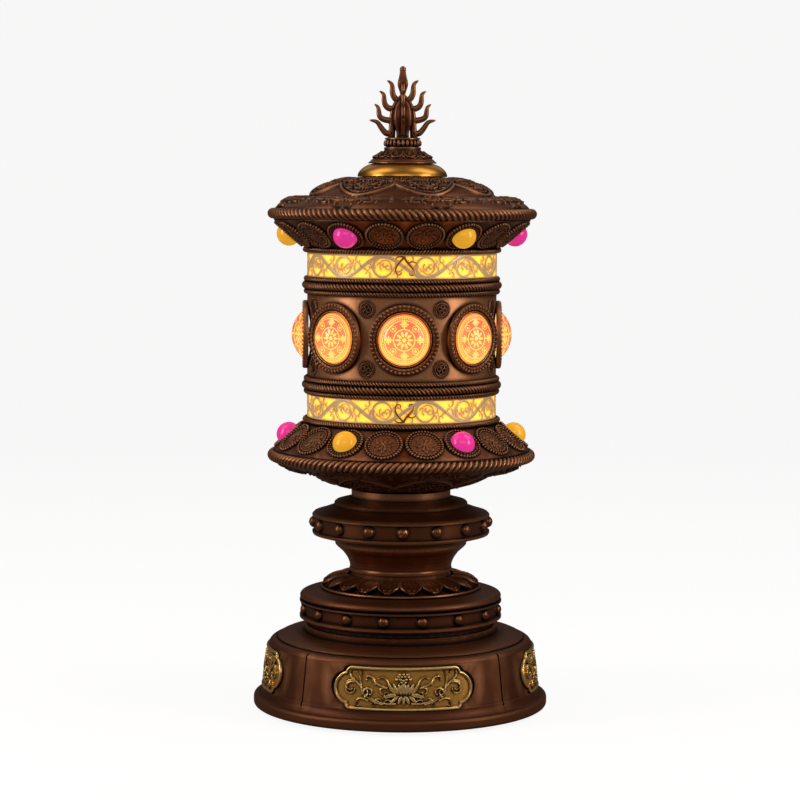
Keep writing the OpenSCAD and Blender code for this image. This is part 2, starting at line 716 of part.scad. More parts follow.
module scripture_roll() color("#e8d9b0") translate([0, 0, roll_foot])
    tube(roll_r, spindle_r, z_roof - cast_t - hub_t - boss_h - roll_foot);

module led_carrier() color("#f2f2f2") translate([0, 0, mid_z - carrier_h]) {
    tube(carrier_r, carrier_r - carrier_t, 2 * carrier_h);
    for (z = [0, 2 * carrier_h - carrier_t]) translate([0, 0, z])
        tube(drum_r - band_t - diffuser_t, carrier_r - eps, carrier_t);
}

module led_chips() color("#fff2a8") {
    for (z = [-1, 1]) translate([0, 0, mid_z + z * (band_foot + band_h / 2)]) around(18) led_chip();
    translate([0, 0, mid_z]) around(medallion_count, -90) led_chip();
}

module led_chip() translate([carrier_r, -1.75, -1.4]) cube([1, 3.5, 2.8]);

module drum_sleeve() bronze() difference() {
    translate([0, 0, mid_z - band_foot]) tube(drum_r, drum_r - sleeve_t, sleeve_h);
    around(medallion_count, -90) radial(drum_r - sleeve_t - 3, mid_z)
        cylinder(r = socket_hole_r, h = sleeve_t + 6);
}

module medallion_bezels() bronze() around(medallion_count, -90) {
    difference() {
        intersection() {
            radial(drum_r - 6, mid_z) cylinder(r = lens_r + cup_t + bezel_w, h = 12);
            translate([0, 0, mid_z - 2 * lens_r]) tube(drum_r + bezel_h, drum_r, 4 * lens_r);
        }
        radial(drum_r - 6, mid_z) cylinder(r = lens_r + 0.1, h = 14);
    }
    radial(drum_r - sleeve_t - 1, mid_z) difference() {
        cylinder(r = lens_r + cup_t, h = disc_face - drum_r + sleeve_t + 1.6);
        translate([0, 0, 1]) cylinder(r = lens_r + 0.1, h = 20);
        translate([0, 0, -1]) cylinder(r = lens_r - 2, h = 20);
    }
}

module medallion_discs() color("#f5b25e") around(medallion_count, -90)
    radial(disc_face - disc_t, mid_z) cylinder(r = lens_r, h = disc_t);

module medallion_lenses() color("#dfe9ee") around(medallion_count, -90) radial(disc_face, mid_z)
    intersection() {
        translate([0, 0, lens_h - lens_ball]) sphere(lens_ball);
        cylinder(r = lens_r, h = lens_h + 1);
    }

module small_coins() bronze() for (s = [-1, 1]) around(medallion_count, -90 + 180 / medallion_count)
    radial(drum_r, mid_z + s * coin_rise) {
        cylinder(r = coin_r, h = 0.8);
        cylinder(r = coin_r - 1.8, h = 1.3);
    }

module diffuser() color("#ffe678") translate([0, 0, band_foot])
    tube(drum_r - band_t, drum_r - band_t - diffuser_t, band_h);

// Pierced band: two rims joined by posts, with an open window between each two posts
module filigree() gold() difference() {
    translate([0, 0, band_foot]) tube(drum_r, drum_r - band_t, band_h);
    around(window_count) translate([drum_r - 2, -window_w / 2, band_foot + window_rim])
        cube([4, window_w, band_h - 2 * window_rim]);
}

module rope(seat_r, rope_r, z, out) rotate_extrude() difference() {
    translate([seat_r + out, z]) circle(rope_r);
    translate([0, z - 2 * rope_r]) square([seat_r, 4 * rope_r]);
}

// The three ropes below a band, the one above it and the thick one on the rim
module ropes() bronze() {
    rope(drum_r, thick_rope_r, rope_z, rope_out);
    for (s = [-1, 1]) rope(drum_r, thin_rope_r, rope_z + s * rope_pitch, rope_out);
    rope(drum_r, thin_rope_r, canopy_foot + canopy_neck / 2, rope_out);
    rope(rim_r, rim_rope_r, rim_z, rope_out - 0.4);
}

// Turns a piece to stand on the canopy's slope at angle a, its local +Z out of the slope
module on_slope(a) rotate([0, 0, a])
    translate([(slope_in + rim_r) / 2, 0, (slope_z0 + slope_z1) / 2])
        rotate([0, 180 - slope_a, 0]) children();

module canopy() bronze() union() {
    turned([
        [neck_bore, canopy_foot], [drum_r, canopy_foot], [drum_r, slope_z0], [slope_in, slope_z0],
        [rim_r, slope_z1], [rim_r, rim_z], [rim_r - cast_t, rim_z],
        [rim_r - cast_t, slope_z1 + (slope_shift - cast_t) * tan(slope_a)],
        [slope_in - slope_shift, slope_z0], [neck_bore, slope_z0 - 0.4]
    ]);
    for (i = [0:canopy_places - 1]) on_slope(-90 + (i + 0.5) * 360 / canopy_places)
        translate([0, 0, -cast_t * 0.7]) cylinder(r = pad_r, h = cast_t * 0.7 + pad_h);
}

// Points from the foot of the crown up to its flat top
function hump(w, foot, h, n = 18) = [for (i = [0:n]) let(t = 1 - i / n)
    [crown_r + w * t, foot + h * (1 - pow(t, 2.15))]];
function reversed(list) = [for (i = [len(list) - 1:-1:0]) list[i]];

// Closed shell of the roof and of the dish: a sloping brim, a valley and a low crown
module crown(top, bore, brim_h) {
    valley_z = rim_z + brim_h - 0.7;
    crown_h = top - valley_z;
    rise = brim_h / 8.3;
    bronze() turned(concat(
        [for (p = brim) [rim_r - p[0], rim_z + p[1] * rise]],
        hump(crown_w, valley_z, crown_h),
        [[bore, top], [bore, top - cast_t]],
        reversed(hump(crown_w - cast_t * 1.3, valley_z, crown_h - cast_t)),
        [[crown_r + crown_w - cast_t, valley_z - cast_t]],
        reversed([for (p = brim)
            [rim_r - p[0] - cast_t * cos(p[2]), rim_z + p[1] * rise - cast_t * sin(p[2])]])
    ));
}

module gem() translate([0, 0, pad_h]) half_ball(gem_r);

// Gems stand at every third place; the colours alternate round the canopy and swap on the lower one
module gem_places(first) for (i = [0:canopy_places / 6 - 1])
    on_slope(-90 + (first + i * 6 + 1.5) * 360 / canopy_places) children();

module gems(upper_first, lower_first) {
    upper_half() gem_places(upper_first) gem();
    lower_half() gem_places(lower_first) gem();
}

module pink_gems() color("#f52a9a") gems(3, 0);
module amber_gems() color("#f5b028") gems(0, 3);

module gem_collars() bronze() both_halves() for (first = [0, 3]) gem_places(first)
    translate([0, 0, pad_h]) tube(rosette_r, gem_r + seat_clear, 1.1);

module rosettes() bronze() both_halves() for (i = [0:canopy_places - 1]) if (i % 3 != 1)
    on_slope(-90 + (i + 0.5) * 360 / canopy_places) translate([0, 0, pad_h]) {
        cylinder(r = rosette_r, h = 0.9);
        cylinder(r = rosette_r * 0.62, h = 1.6);
    }

module gold_dome() gold() translate([0, 0, z_roof]) turned(concat(
    [[dome_r - 1.6, 0], [dome_r, 0]],
    oval([seat_r - 3, 0.8], dome_r - seat_r + 3, dome_h - 0.8, 0, 90),
    [[spindle_r, dome_h], [spindle_r, dome_h - 1.6]],
    oval([seat_r - 3, 0.8], dome_r - seat_r + 1.4, dome_h - 2.4, 90, 0)
));

module finial_seat() turned([
    [0, seat_h], [0, 3], [spindle_r, 3], [spindle_r, 0], [seat_r, 0], [seat_r - 2, 2.5],
    [seat_r - 3.3, 3.2], [seat_r - 6.5, 5.4], [seat_r - 8.2, 7.4], [seat_r - 8.2, 10.2],
    [seat_r - 8, 11.2], [seat_r - 8.4, seat_h]
]);

// One flame tongue: a bent stroke that narrows to its tip
module tongue(points, w) for (s = [bend(points)]) polygon(concat(
    [for (i = [0:len(s) - 1]) s[i] + w * (1 - 0.8 * i / (len(s) - 1)) * side(s, i)],
    [for (i = [len(s) - 1:-1:0]) s[i] - w * (1 - 0.8 * i / (len(s) - 1)) * side(s, i)]
));

function side(s, i) =
    let(d = s[min(i + 1, len(s) - 1)] - s[max(i - 1, 0)]) [-d[1], d[0]] / norm(d);

module flame_fin() {
    up = flame_h / 35.8;
    polygon([[3, -0.2], [8.4, 0], [7, 3.4], [5.9, 9], [5.6, 13], [3.6, 18], [0, 20.6], [0, 4]]);
    tongue([[5, 2.6], [10.4, 0.6], [11.6, 6.6]], 1.4);
    tongue([[11, 5], [12.4, 8.8], [16.6, 9.1]], 1.1);
    tongue([[4, 8.6], [13.2, 7.6], [11.6, 14.6]], 1.1);
    tongue([[11.6, 13.2], [11.8, 16.4], [14.2, 17]], 0.8);
    tongue([[3, 14.6], [10.4, 14.2], [9.2, 21 * up]], 1.2);
    tongue([[9.3, 19.6], [9.2, 23], [11.7, 23.5 * up]], 0.9);
    tongue([[1, 18], [6.2, 20.6], [5, 26.6 * up]], 1.3);
    tongue([[5.1, 25], [5, 28.4], [7.9, 28.7 * up]], 0.9);
}

module finial() bronze() {
    translate([0, 0, z_dome]) finial_seat();
    translate([0, 0, z_seat - eps]) {
        turned(concat(
            [[0, 0], [3.6, 0], [3.6, 4.6], [4.6, 5.4]],
            oval([0, 11.5], 5.5, 8, -30, 78),
            [[0.9, 20], [0.9, 21.4], [2, 24], [3.2, 26.9], [2.6, 29.6], [2.2, 32.4]],
            oval([0, flame_h - 2.6], 2.1, 2.6, 10, 90, 5)
        ));
        around(4) rotate([90, 0, 0]) translate([0, 0, -fin_t / 2]) linear_extrude(fin_t) flame_fin();
    }
}

base_shell();
bottom_cover();
cover_screws();
rubber_feet();
front_plaque();
left_plaque();
right_plaque();
rear_panel();
lower_pedestal();
lower_studs();
lotus_ring();
waist_column();
upper_pedestal();
upper_studs();
neck_collar();
stand_tube();
tube_nuts();
lower_bearing();
upper_bearing();
thrust_washer();
drive_motor();
motor_bracket();
motor_screws();
motor_shaft();
pinion();
slip_ring();
circuit_board();
dc_socket();
power_switch();
power_button();
spindle();
drive_gear();
contact_rings();
lower_hub();
upper_hub();
hub_nut();
scripture_roll();
led_carrier();
led_chips();
drum_sleeve();
medallion_bezels();
medallion_discs();
medallion_lenses();
small_coins();
lower_half() diffuser();  // lower_diffuser
upper_half() diffuser();  // upper_diffuser
lower_half() filigree();  // lower_filigree
upper_half() filigree();  // upper_filigree
lower_half() ropes();  // lower_ropes
upper_half() ropes();  // upper_ropes
lower_half() canopy();  // lower_canopy
upper_half() canopy();  // upper_canopy
lower_half() crown(dish_top, dish_bore, dish_brim_h);  // bottom_dish
upper_half() crown(roof_top, roof_bore, roof_brim_h);  // roof
pink_gems();
amber_gems();
gem_collars();
rosettes();
gold_dome();
finial();
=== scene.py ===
import math

import bmesh
import bpy
import numpy as np
from mathutils import Matrix, Vector


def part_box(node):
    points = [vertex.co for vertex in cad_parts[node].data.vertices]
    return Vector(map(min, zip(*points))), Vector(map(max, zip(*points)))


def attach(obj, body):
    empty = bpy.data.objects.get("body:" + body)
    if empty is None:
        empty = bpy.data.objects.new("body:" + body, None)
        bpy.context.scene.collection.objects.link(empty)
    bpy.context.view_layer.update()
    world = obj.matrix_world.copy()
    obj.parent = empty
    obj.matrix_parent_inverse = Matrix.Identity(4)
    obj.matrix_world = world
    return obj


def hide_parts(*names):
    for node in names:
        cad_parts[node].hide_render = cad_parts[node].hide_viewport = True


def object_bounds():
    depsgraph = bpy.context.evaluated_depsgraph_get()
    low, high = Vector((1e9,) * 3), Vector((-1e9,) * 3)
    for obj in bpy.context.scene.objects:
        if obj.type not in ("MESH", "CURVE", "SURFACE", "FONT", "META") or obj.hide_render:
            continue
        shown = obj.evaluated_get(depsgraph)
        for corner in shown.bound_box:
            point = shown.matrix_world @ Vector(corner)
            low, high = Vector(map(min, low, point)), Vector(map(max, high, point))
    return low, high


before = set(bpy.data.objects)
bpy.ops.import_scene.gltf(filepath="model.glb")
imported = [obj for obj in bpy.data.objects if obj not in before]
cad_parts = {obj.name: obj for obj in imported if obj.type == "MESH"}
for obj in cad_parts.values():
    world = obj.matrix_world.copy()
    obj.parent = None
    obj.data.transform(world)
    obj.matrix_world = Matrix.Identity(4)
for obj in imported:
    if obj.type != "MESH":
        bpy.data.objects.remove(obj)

mm = 0.001
tau = 2 * math.pi
front = -90.0  # degrees round the axis; the wheel faces -Y
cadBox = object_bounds()


def heights(node):
    low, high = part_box(node)
    return low.z / mm, high.z / mm


# key levels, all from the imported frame
sleeveLow, sleeveHigh = heights("drum_sleeve")
zMid = (sleeveLow + sleeveHigh) / 2
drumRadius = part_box("drum_sleeve")[1].x / mm
roofHigh = heights("roof")[1]
dishLow = heights("bottom_dish")[0]
domeLow, domeHigh = heights("gold_dome")
finialHigh = heights("finial")[1]
tableLevel = cadBox[0].z

# camera, lights and floor
cameraSet = dict(distance=1.24, height=0.26, pitch=4.84, lens=111.6, sensor=36.0, clip=(0.05, 20), swing=-1.4,
                 roll=0.26, side=-0.0007)


def placeCamera(s):
    data = bpy.data.cameras.new("frontCamera")
    data.lens, data.sensor_width = s["lens"], s["sensor"]
    data.clip_start, data.clip_end = s["clip"]
    camera = bpy.data.objects.new("frontCamera", data)
    bpy.context.scene.collection.objects.link(camera)
    turn = math.radians(s["swing"])
    place = (math.sin(turn) * s["distance"] + s["side"], -math.cos(turn) * s["distance"], s["height"])
    tilt, roll = math.radians(90 - s["pitch"]), math.radians(s["roll"])
    aim = Matrix.Rotation(turn, 4, "Z") @ Matrix.Rotation(tilt, 4, "X") @ Matrix.Rotation(roll, 4, "Z")
    camera.matrix_world = Matrix.Translation(place) @ aim
    bpy.context.scene.camera = camera


placeCamera(cameraSet)

lampSet = dict(
    leftStrip=dict(at=(-0.75, -0.27, 0.40), aim=(0, 0, 0.21), size=(0.22, 0.5), watts=1.9, tint=(1, 0.94, 0.86)),
    rightStrip=dict(at=(0.70, -0.37, 0.40), aim=(0, 0, 0.21), size=(0.22, 0.5), watts=1.8, tint=(1, 0.94, 0.86)),
    topLeft=dict(at=(-0.55, 0.02, 0.98), aim=(0, 0, 0.25), size=(0.5, 0.7), watts=1.6, tint=(1, 0.95, 0.88)),
    topRight=dict(at=(0.55, 0.02, 0.98), aim=(0, 0, 0.25), size=(0.5, 0.7), watts=1.6, tint=(1, 0.95, 0.88)),
    frontFill=dict(at=(0.0, -1.3, 0.75), aim=(0, 0, 0.16), size=(1.2, 0.4), watts=1.9, tint=(1, 0.93, 0.84)),
    backRim=dict(at=(0.0, 0.9, 0.8), aim=(0, 0, 0.2), size=(1.2, 0.5), watts=0.6, tint=(1, 1, 1)),
)


def placeLamps(lamps):
    for name, s in lamps.items():
        data = bpy.data.lights.new(name, "AREA")
        data.shape, data.size, data.size_y = "RECTANGLE", s["size"][0], s["size"][1]
        data.energy, data.color = s["watts"], s["tint"]
        lamp = bpy.data.objects.new(name, data)
        bpy.context.scene.collection.objects.link(lamp)
        lamp.location = s["at"]
        lamp.rotation_euler = (Vector(s["aim"]) - Vector(s["at"])).to_track_quat("-Z", "Y").to_euler()


placeLamps(lampSet)
print("camera and lamps placed")

# node helpers


def feed(tree, made, inputs):
    # links the inputs that are sockets and sets the others
    for key, value in inputs.items():
        if isinstance(value, bpy.types.NodeSocket):
            tree.links.new(value, made.inputs[key])
        else:
            made.inputs[key].default_value = value


def node(tree, kind, inputs=None, **settings):
    made = tree.nodes.new(kind)
    for key, value in settings.items():
        setattr(made, key, value)
    feed(tree, made, inputs or {})
    return made


def newGroup(name, inputs, outputs):
    group = bpy.data.node_groups.new(name, "ShaderNodeTree")
    for label, start in inputs.items():
        group.interface.new_socket(label, in_out="INPUT", socket_type="NodeSocketFloat").default_value = start
    for label in outputs:
        group.interface.new_socket(label, in_out="OUTPUT", socket_type="NodeSocketFloat")
    return group, group.nodes.new("NodeGroupInput"), group.nodes.new("NodeGroupOutput")


def useGroup(tree, group, inputs):
    return node(tree, "ShaderNodeGroup", inputs, node_tree=group).outputs


def math2(tree, operation, a, b=0.0, c=None, clamp=False):
    terms = {0: a, 1: b} if c is None else {0: a, 1: b, 2: c}
    return node(tree, "ShaderNodeMath", terms, operation=operation, use_clamp=clamp).outputs[0]


def spread(tree, mask, width, middle):
    # a value that varies by width round the middle as the mask goes from 0 to 1
    return math2(tree, "MULTIPLY_ADD", mask, width, middle - width / 2)


def mark(tree, name):
    return node(tree, "ShaderNodeAttribute", attribute_name=name).outputs["Fac"]


def mixColour(tree, factor, a, b):
    return node(tree, "ShaderNodeMix", {0: factor, 6: a, 7: b}, data_type="RGBA").outputs[2]


def ramp(tree, value, stops):
    made = node(tree, "ShaderNodeValToRGB", {0: value})
    bar = made.color_ramp.elements
    while len(bar) < len(stops):
        bar.new(0.5)
    for stop, (where, colour) in zip(bar, stops):
        stop.position, stop.color = where, colour
    return made.outputs[0]


def srgb(r, g, b, a=1.0):
    def line(c):
        c = c / 255
        return c / 12.92 if c <= 0.04045 else ((c + 0.055) / 1.055) ** 2.4
    return (line(r), line(g), line(b), a)


def shade(colour, factor, lift=0.0):
    return tuple(min(1, c * factor + lift) for c in colour[:3]) + (1,)


def noise(tree, where, scale, detail, roughness=0.5):
    inputs = {"Vector": where, "Scale": scale, "Detail": detail, "Roughness": roughness}
    return node(tree, "ShaderNodeTexNoise", inputs).outputs[0]


def buildGrain():
    # fine casting grain: a height for bumps and a mask of soft blotches
    start = {"Grain": 900.0, "Blotch": 60.0}
    g, into, out = newGroup("castGrain", start, ("Height", "Mask"))
    where = node(g, "ShaderNodeTexCoord").outputs["Object"]
    fine = noise(g, where, into.outputs["Grain"], 3.0, 0.55)
    broad = noise(g, where, into.outputs["Blotch"], 4.0, 0.6)
    feed(g, out, {"Height": fine, "Mask": broad})
    return g


def buildLightAndWear():
    # painted shade darkens the recesses found by an occlusion test; edges come out lighter, partly as rubbed wear and
    # partly as painted highlight; beads, leaves and strands are painted lighter on their tops as a highlight
    start = {"Reach": 0.0016, "Recess Gain": 1.6, "Rub Gain": 6.0, "Grain": 500.0, "Highlight Gain": 0.9}
    g, into, out = newGroup("paintedLightAndWear", start, ("Painted Shade", "Rub And Glint", "Painted Highlight"))
    hollow = node(g, "ShaderNodeAmbientOcclusion", {"Distance": into.outputs["Reach"]}, samples=6)
    shape = node(g, "ShaderNodeNewGeometry")
    where = node(g, "ShaderNodeTexCoord").outputs["Object"]
    noisy = math2(g, "MULTIPLY_ADD", noise(g, where, into.outputs["Grain"], 3.0), 0.5, 0.75)
    dark = math2(g, "SUBTRACT", 1.0, hollow.outputs["AO"])
    dark = math2(g, "MULTIPLY", dark, into.outputs["Recess Gain"])
    proud = math2(g, "SUBTRACT", shape.outputs["Pointiness"], 0.5)
    proud = math2(g, "MULTIPLY", proud, into.outputs["Rub Gain"])
    raised = math2(g, "SUBTRACT", mark(g, "relief"), 0.52)
    feed(g, out, {
        "Painted Shade": math2(g, "MULTIPLY", dark, noisy, clamp=True),
        "Rub And Glint": math2(g, "MULTIPLY", proud, noisy, clamp=True),
        "Painted Highlight": math2(g, "MULTIPLY", raised, into.outputs["Highlight Gain"], clamp=True),
    })
    return g


def buildLathe():
    # rings left by turning, for spindles, hubs and bushes
    g, into, out = newGroup("turnedRings", {"Pitch": 2600.0}, ("Height", "Mask"))
    where = node(g, "ShaderNodeTexCoord").outputs["Object"]
    wave = {"Vector": where, "Scale": into.outputs["Pitch"], "Distortion": 0.4, "Detail": 2.0}
    rings = node(g, "ShaderNodeTexWave", wave, wave_type="RINGS", rings_direction="Z")
    feed(g, out, {"Height": rings.outputs[1], "Mask": noise(g, where, 120.0, 3.0)})
    return g


castGrain, paintedLightAndWear, turnedRings = buildGrain(), buildLightAndWear(), buildLathe()


def newMaterial(name, **plain):
    material = bpy.data.materials.new(name)
    material.use_nodes = True
    tree = material.node_tree
    shader = next(n for n in tree.nodes if n.type == "BSDF_PRINCIPLED")
    for key, value in plain.items():
        shader.inputs[key.replace("_", " ")].default_value = value
    return material, tree, shader


def bumped(tree, shader, height, strength, distance):
    bump = node(tree, "ShaderNodeBump", {"Height": height, "Strength": strength, "Distance": distance})
    feed(tree, shader, {"Normal": bump.outputs[0]})


metalSet = dict(fineShare=0.6, blotch=45.0, topHighlight=0.9, gloss=0.16, recessRough=0.25, bumpSize=0.00012)


def metalWithPaintedLight(name, deep, body, rubAndHighlight, metallic, rough, reach=0.0016, gain=1.6, rubGlintGain=6.0,
              grain=900.0, vary=0.12, bump=0.12, **plain):
    s = metalSet
    material, tree, shader = newMaterial(name, Metallic=metallic, **plain)
    lightAndWear = useGroup(tree, paintedLightAndWear, {"Reach": reach, "Recess Gain": gain, "Rub Gain": rubGlintGain,
                                     "Grain": grain * s["fineShare"], "Highlight Gain": s["topHighlight"]})
    cast = useGroup(tree, castGrain, {"Grain": grain, "Blotch": s["blotch"]})
    base = mixColour(tree, cast["Mask"], shade(body, 1 - vary * 1.6), shade(body, 1 + vary))
    # edges lighten towards the highlight colour, partly rubbed wear and partly painted highlight; raised tops take
    # painted highlight; recesses darken towards deep as painted shade
    for part, colour in (("Rub And Glint", rubAndHighlight), ("Painted Highlight", rubAndHighlight), ("Painted Shade", deep)):
        base = mixColour(tree, lightAndWear[part], base, colour)
    roughness = spread(tree, cast["Mask"], s["gloss"], rough)
    roughness = math2(tree, "ADD", roughness, math2(tree, "MULTIPLY", lightAndWear["Painted Shade"], s["recessRough"]))
    feed(tree, shader, {"Base Color": base, "Roughness": roughness})
    bumped(tree, shader, cast["Height"], bump, s["bumpSize"])
    return material


bronze = metalWithPaintedLight("antiqueBronze", deep=srgb(12, 3, 1), body=srgb(122, 66, 30), rubAndHighlight=srgb(224, 152, 104),
                   metallic=0.82, rough=0.36, reach=0.0022, gain=3.2, vary=0.12, Coat_Weight=0.25,
                   Coat_Roughness=0.32)
# a darker, rougher copy of the bronze for the base and lower pedestal: its darker colour is painted shade, as these
# parts get less light
shadedBaseBronze = metalWithPaintedLight("shadedBaseBronze", deep=srgb(10, 3, 1), body=srgb(102, 52, 22), rubAndHighlight=srgb(196, 130, 88),
                       metallic=0.78, rough=0.47, reach=0.0022, gain=3.0, vary=0.12, Coat_Weight=0.12,
                       Coat_Roughness=0.4)
goldPlate = metalWithPaintedLight("goldPlate", deep=srgb(70, 30, 4), body=srgb(252, 184, 88), rubAndHighlight=srgb(255, 236, 170),
                      metallic=0.8, rough=0.25, reach=0.0014, gain=2.8, vary=0.05, bump=0.05)
polishedGold = metalWithPaintedLight("polishedGold", deep=srgb(140, 80, 24), body=srgb(236, 164, 70), rubAndHighlight=srgb(255, 205, 120),
                         metallic=1.0, rough=0.32, reach=0.0012, gain=1.1, rubGlintGain=0.0, vary=0.03, bump=0.01)
# painted light: a cream emission brightens the metal strokes
brassFiligree = metalWithPaintedLight("brassFiligree", deep=srgb(190, 120, 50), body=srgb(240, 198, 138),
                          rubAndHighlight=srgb(255, 240, 206), metallic=0.2, rough=0.34, reach=0.001, gain=0.4,
                          Emission_Color=srgb(236, 190, 120), Emission_Strength=0.14)
sinteredBush = metalWithPaintedLight("sinteredBush", deep=srgb(70, 48, 22), body=srgb(186, 150, 92), rubAndHighlight=srgb(220, 190, 130),
                         metallic=0.9, rough=0.5, grain=1600.0)


def turnedMetal(name, body, rough, pitch=2600.0):
    material, tree, shader = newMaterial(name, Metallic=1.0)
    rings = useGroup(tree, turnedRings, {"Pitch": pitch})
    lightAndWear = useGroup(tree, paintedLightAndWear, {"Reach": 0.002, "Recess Gain": 0.7, "Rub Gain": 3.0})
    base = mixColour(tree, rings["Mask"], shade(body, 0.8), body)
    # painted shade: recesses darken towards a much darker body colour
    base = mixColour(tree, lightAndWear["Painted Shade"], base, shade(body, 0.35))
    feed(tree, shader, {"Base Color": base, "Roughness": spread(tree, rings["Mask"], 0.2, rough)})
    bumped(tree, shader, rings["Height"], 0.08, 0.00005)
    return material


steel = turnedMetal("turnedSteel", srgb(196, 198, 202), 0.3)
alloy = turnedMetal("castAlloy", srgb(176, 180, 184), 0.45, pitch=1500.0)


def moulded(name, body, rough, grain=1400.0, bump=0.2, dust=0.12, **plain):
    material, tree, shader = newMaterial(name, **plain)
    cast = useGroup(tree, castGrain, {"Grain": grain, "Blotch": 70.0})
    lightAndWear = useGroup(tree, paintedLightAndWear, {"Reach": 0.003, "Recess Gain": 0.6, "Rub Gain": 4.0})
    base = mixColour(tree, cast["Mask"], shade(body, 1 - dust), shade(body, 1 + dust, 0.004))
    # painted shade: recesses darken towards a darker body colour
    base = mixColour(tree, lightAndWear["Painted Shade"], base, shade(body, 0.4))
    feed(tree, shader, {"Base Color": base, "Roughness": spread(tree, cast["Mask"], 0.18, rough)})
    bumped(tree, shader, cast["Height"], bump, 0.00008)
    return material


coverPlastic = moulded("texturedCover", srgb(62, 42, 34), 0.6)
rubber = moulded("softRubber", srgb(34, 33, 33), 0.82, grain=2200.0, bump=0.35)
blackPlastic = moulded("blackPlastic", srgb(26, 26, 28), 0.48)
nylon = moulded("nylonGear", srgb(228, 224, 210), 0.5, Subsurface_Weight=0.15, Subsurface_Scale=0.002)
whitePlastic = moulded("whiteCarrier", srgb(236, 236, 230), 0.5)
paper = moulded("rolledPaper", srgb(214, 198, 160), 0.85, grain=700.0, bump=0.4)
board = moulded("solderMask", srgb(24, 100, 52), 0.32, Coat_Weight=0.4, Coat_Roughness=0.15)


def lit(name, low, high, strength, scale, edge=None):
    base = (0.8, 0.6, 0.25, 1)
    material, tree, shader = newMaterial(name, Emission_Strength=strength)
    cast = useGroup(tree, castGrain, {"Grain": scale * 8, "Blotch": scale})
    glow = mixColour(tree, cast["Mask"], low, high)
    # edge: painted shade on the glow, which turns orange near the strokes that stand in front of it
    if edge:
        lightAndWear = useGroup(tree, paintedLightAndWear, {"Reach": 0.0022, "Recess Gain": 1.5})
        glow = mixColour(tree, lightAndWear["Painted Shade"], glow, edge)
    feed(tree, shader, {"Base Color": mixColour(tree, cast["Mask"], low, base), "Emission Color": glow,
                        "Roughness": spread(tree, cast["Height"], 0.2, 0.45)})
    return material


diffuserGlow = lit("diffuserGlow", srgb(255, 210, 30), srgb(255, 244, 90), 1.0, 60.0, edge=srgb(255, 150, 0))
ledChip = lit("ledChip", srgb(255, 214, 120), srgb(255, 244, 200), 3.0, 200.0)


def gemMaterial(name, body, rim, deep):
    # painted glow: the gems are given an emission so they shine
    material, tree, shader = newMaterial(name, Coat_Weight=0.25, Coat_Roughness=0.12, Subsurface_Weight=0.25,
                                         Subsurface_Scale=0.004, Emission_Strength=0.48)
    cast = useGroup(tree, castGrain, {"Grain": 220.0, "Blotch": 160.0})
    feed(tree, shader, {"Base Color": mixColour(tree, cast["Mask"], deep, body),
                        "Emission Color": mixColour(tree, cast["Mask"], body, rim),
                        "Roughness": spread(tree, cast["Height"], 0.05, 0.225)})
    return material


pinkGem = gemMaterial("pinkGem", srgb(250, 36, 150), srgb(255, 90, 190), srgb(226, 12, 120))
amberGem = gemMaterial("amberGem", srgb(255, 178, 26), srgb(255, 206, 70), srgb(240, 140, 8))


def lensMaterial():
    # clear over the disc; towards the bezel an amber tint and an amber glow are painted in, standing for the bronze
    # reflected and seen through the lens
    material, tree, shader = newMaterial("clearLens", IOR=1.45, Transmission_Weight=1.0, Emission_Strength=0.3)
    cast = useGroup(tree, castGrain, {"Grain": 300.0, "Blotch": 80.0})
    foot = mark(tree, "relief")
    clear = mixColour(tree, cast["Mask"], srgb(252, 246, 236), srgb(255, 252, 248))
    feed(tree, shader, {"Base Color": mixColour(tree, foot, clear, srgb(240, 186, 124)),
                        "Emission Color": mixColour(tree, foot, (0, 0, 0, 1), srgb(206, 112, 50)),
                        "Roughness": spread(tree, cast["Mask"], 0.03, 0.025)})
    return material


def medallionMaterial():
    # raised parts pale yellow, ground runs from coral above to orange below
    # painted glow: the emission repeats the print's colour so the discs shine
    material, tree, shader = newMaterial("medallionFace", Emission_Strength=0.95)
    tall = mark(tree, "rise")
    cast = useGroup(tree, castGrain, {"Grain": 900.0, "Blotch": 140.0})
    ground = ramp(tree, tall, [(0.1, srgb(246, 156, 84)), (0.5, srgb(238, 116, 74)), (0.9, srgb(232, 92, 70))])
    top = ramp(tree, tall, [(0.1, srgb(255, 226, 120)), (0.6, srgb(255, 222, 112)), (0.95, srgb(255, 206, 104))])
    mask = ramp(tree, mark(tree, "relief"), [(0.45, (0, 0, 0, 1)), (0.7, (1, 1, 1, 1))])
    colour = mixColour(tree, mask, ground, top)
    colour = mixColour(tree, math2(tree, "MULTIPLY", cast["Mask"], 0.08), colour, srgb(255, 236, 170))
    feed(tree, shader, {"Base Color": colour, "Emission Color": colour,
                        "Roughness": spread(tree, cast["Height"], 0.2, 0.4)})
    bumped(tree, shader, cast["Height"], 0.1, 0.00005)
    return material


lensClear, medallionFace = lensMaterial(), medallionMaterial()
print("materials ready")

# mesh helpers, all in millimetres


def gridFaces(rows, columns, wrapRows=False):
    # four-sided faces between rings of points; the columns close on themselves
    r = np.arange(rows if wrapRows else rows - 1)[:, None]
    c = np.arange(columns)[None, :]
    r2, c2 = (r + 1) % rows, (c + 1) % columns
    corners = [r * columns + c, r * columns + c2, r2 * columns + c2, r2 * columns + c]
    return np.stack(corners, -1).reshape(-1, 4)


def tubeFaces(rows, columns):
    # a tube with a flat face on each end
    last = (rows - 1) * columns
    return [gridFaces(rows, columns), [list(range(columns))], [list(range(last, last + columns))]]


def fanFaces(first, count, tip):
    around = np.arange(count)
    return np.stack([first + around, first + (around + 1) % count, np.full(count, tip)], -1)


def spots(radius, count, turn=0.0):
    # points evenly round a circle, the first one turn degrees from x
    angles = [math.radians(turn) + tau * k / count for k in range(count)]
    return [(radius * math.cos(a), radius * math.sin(a)) for a in angles]


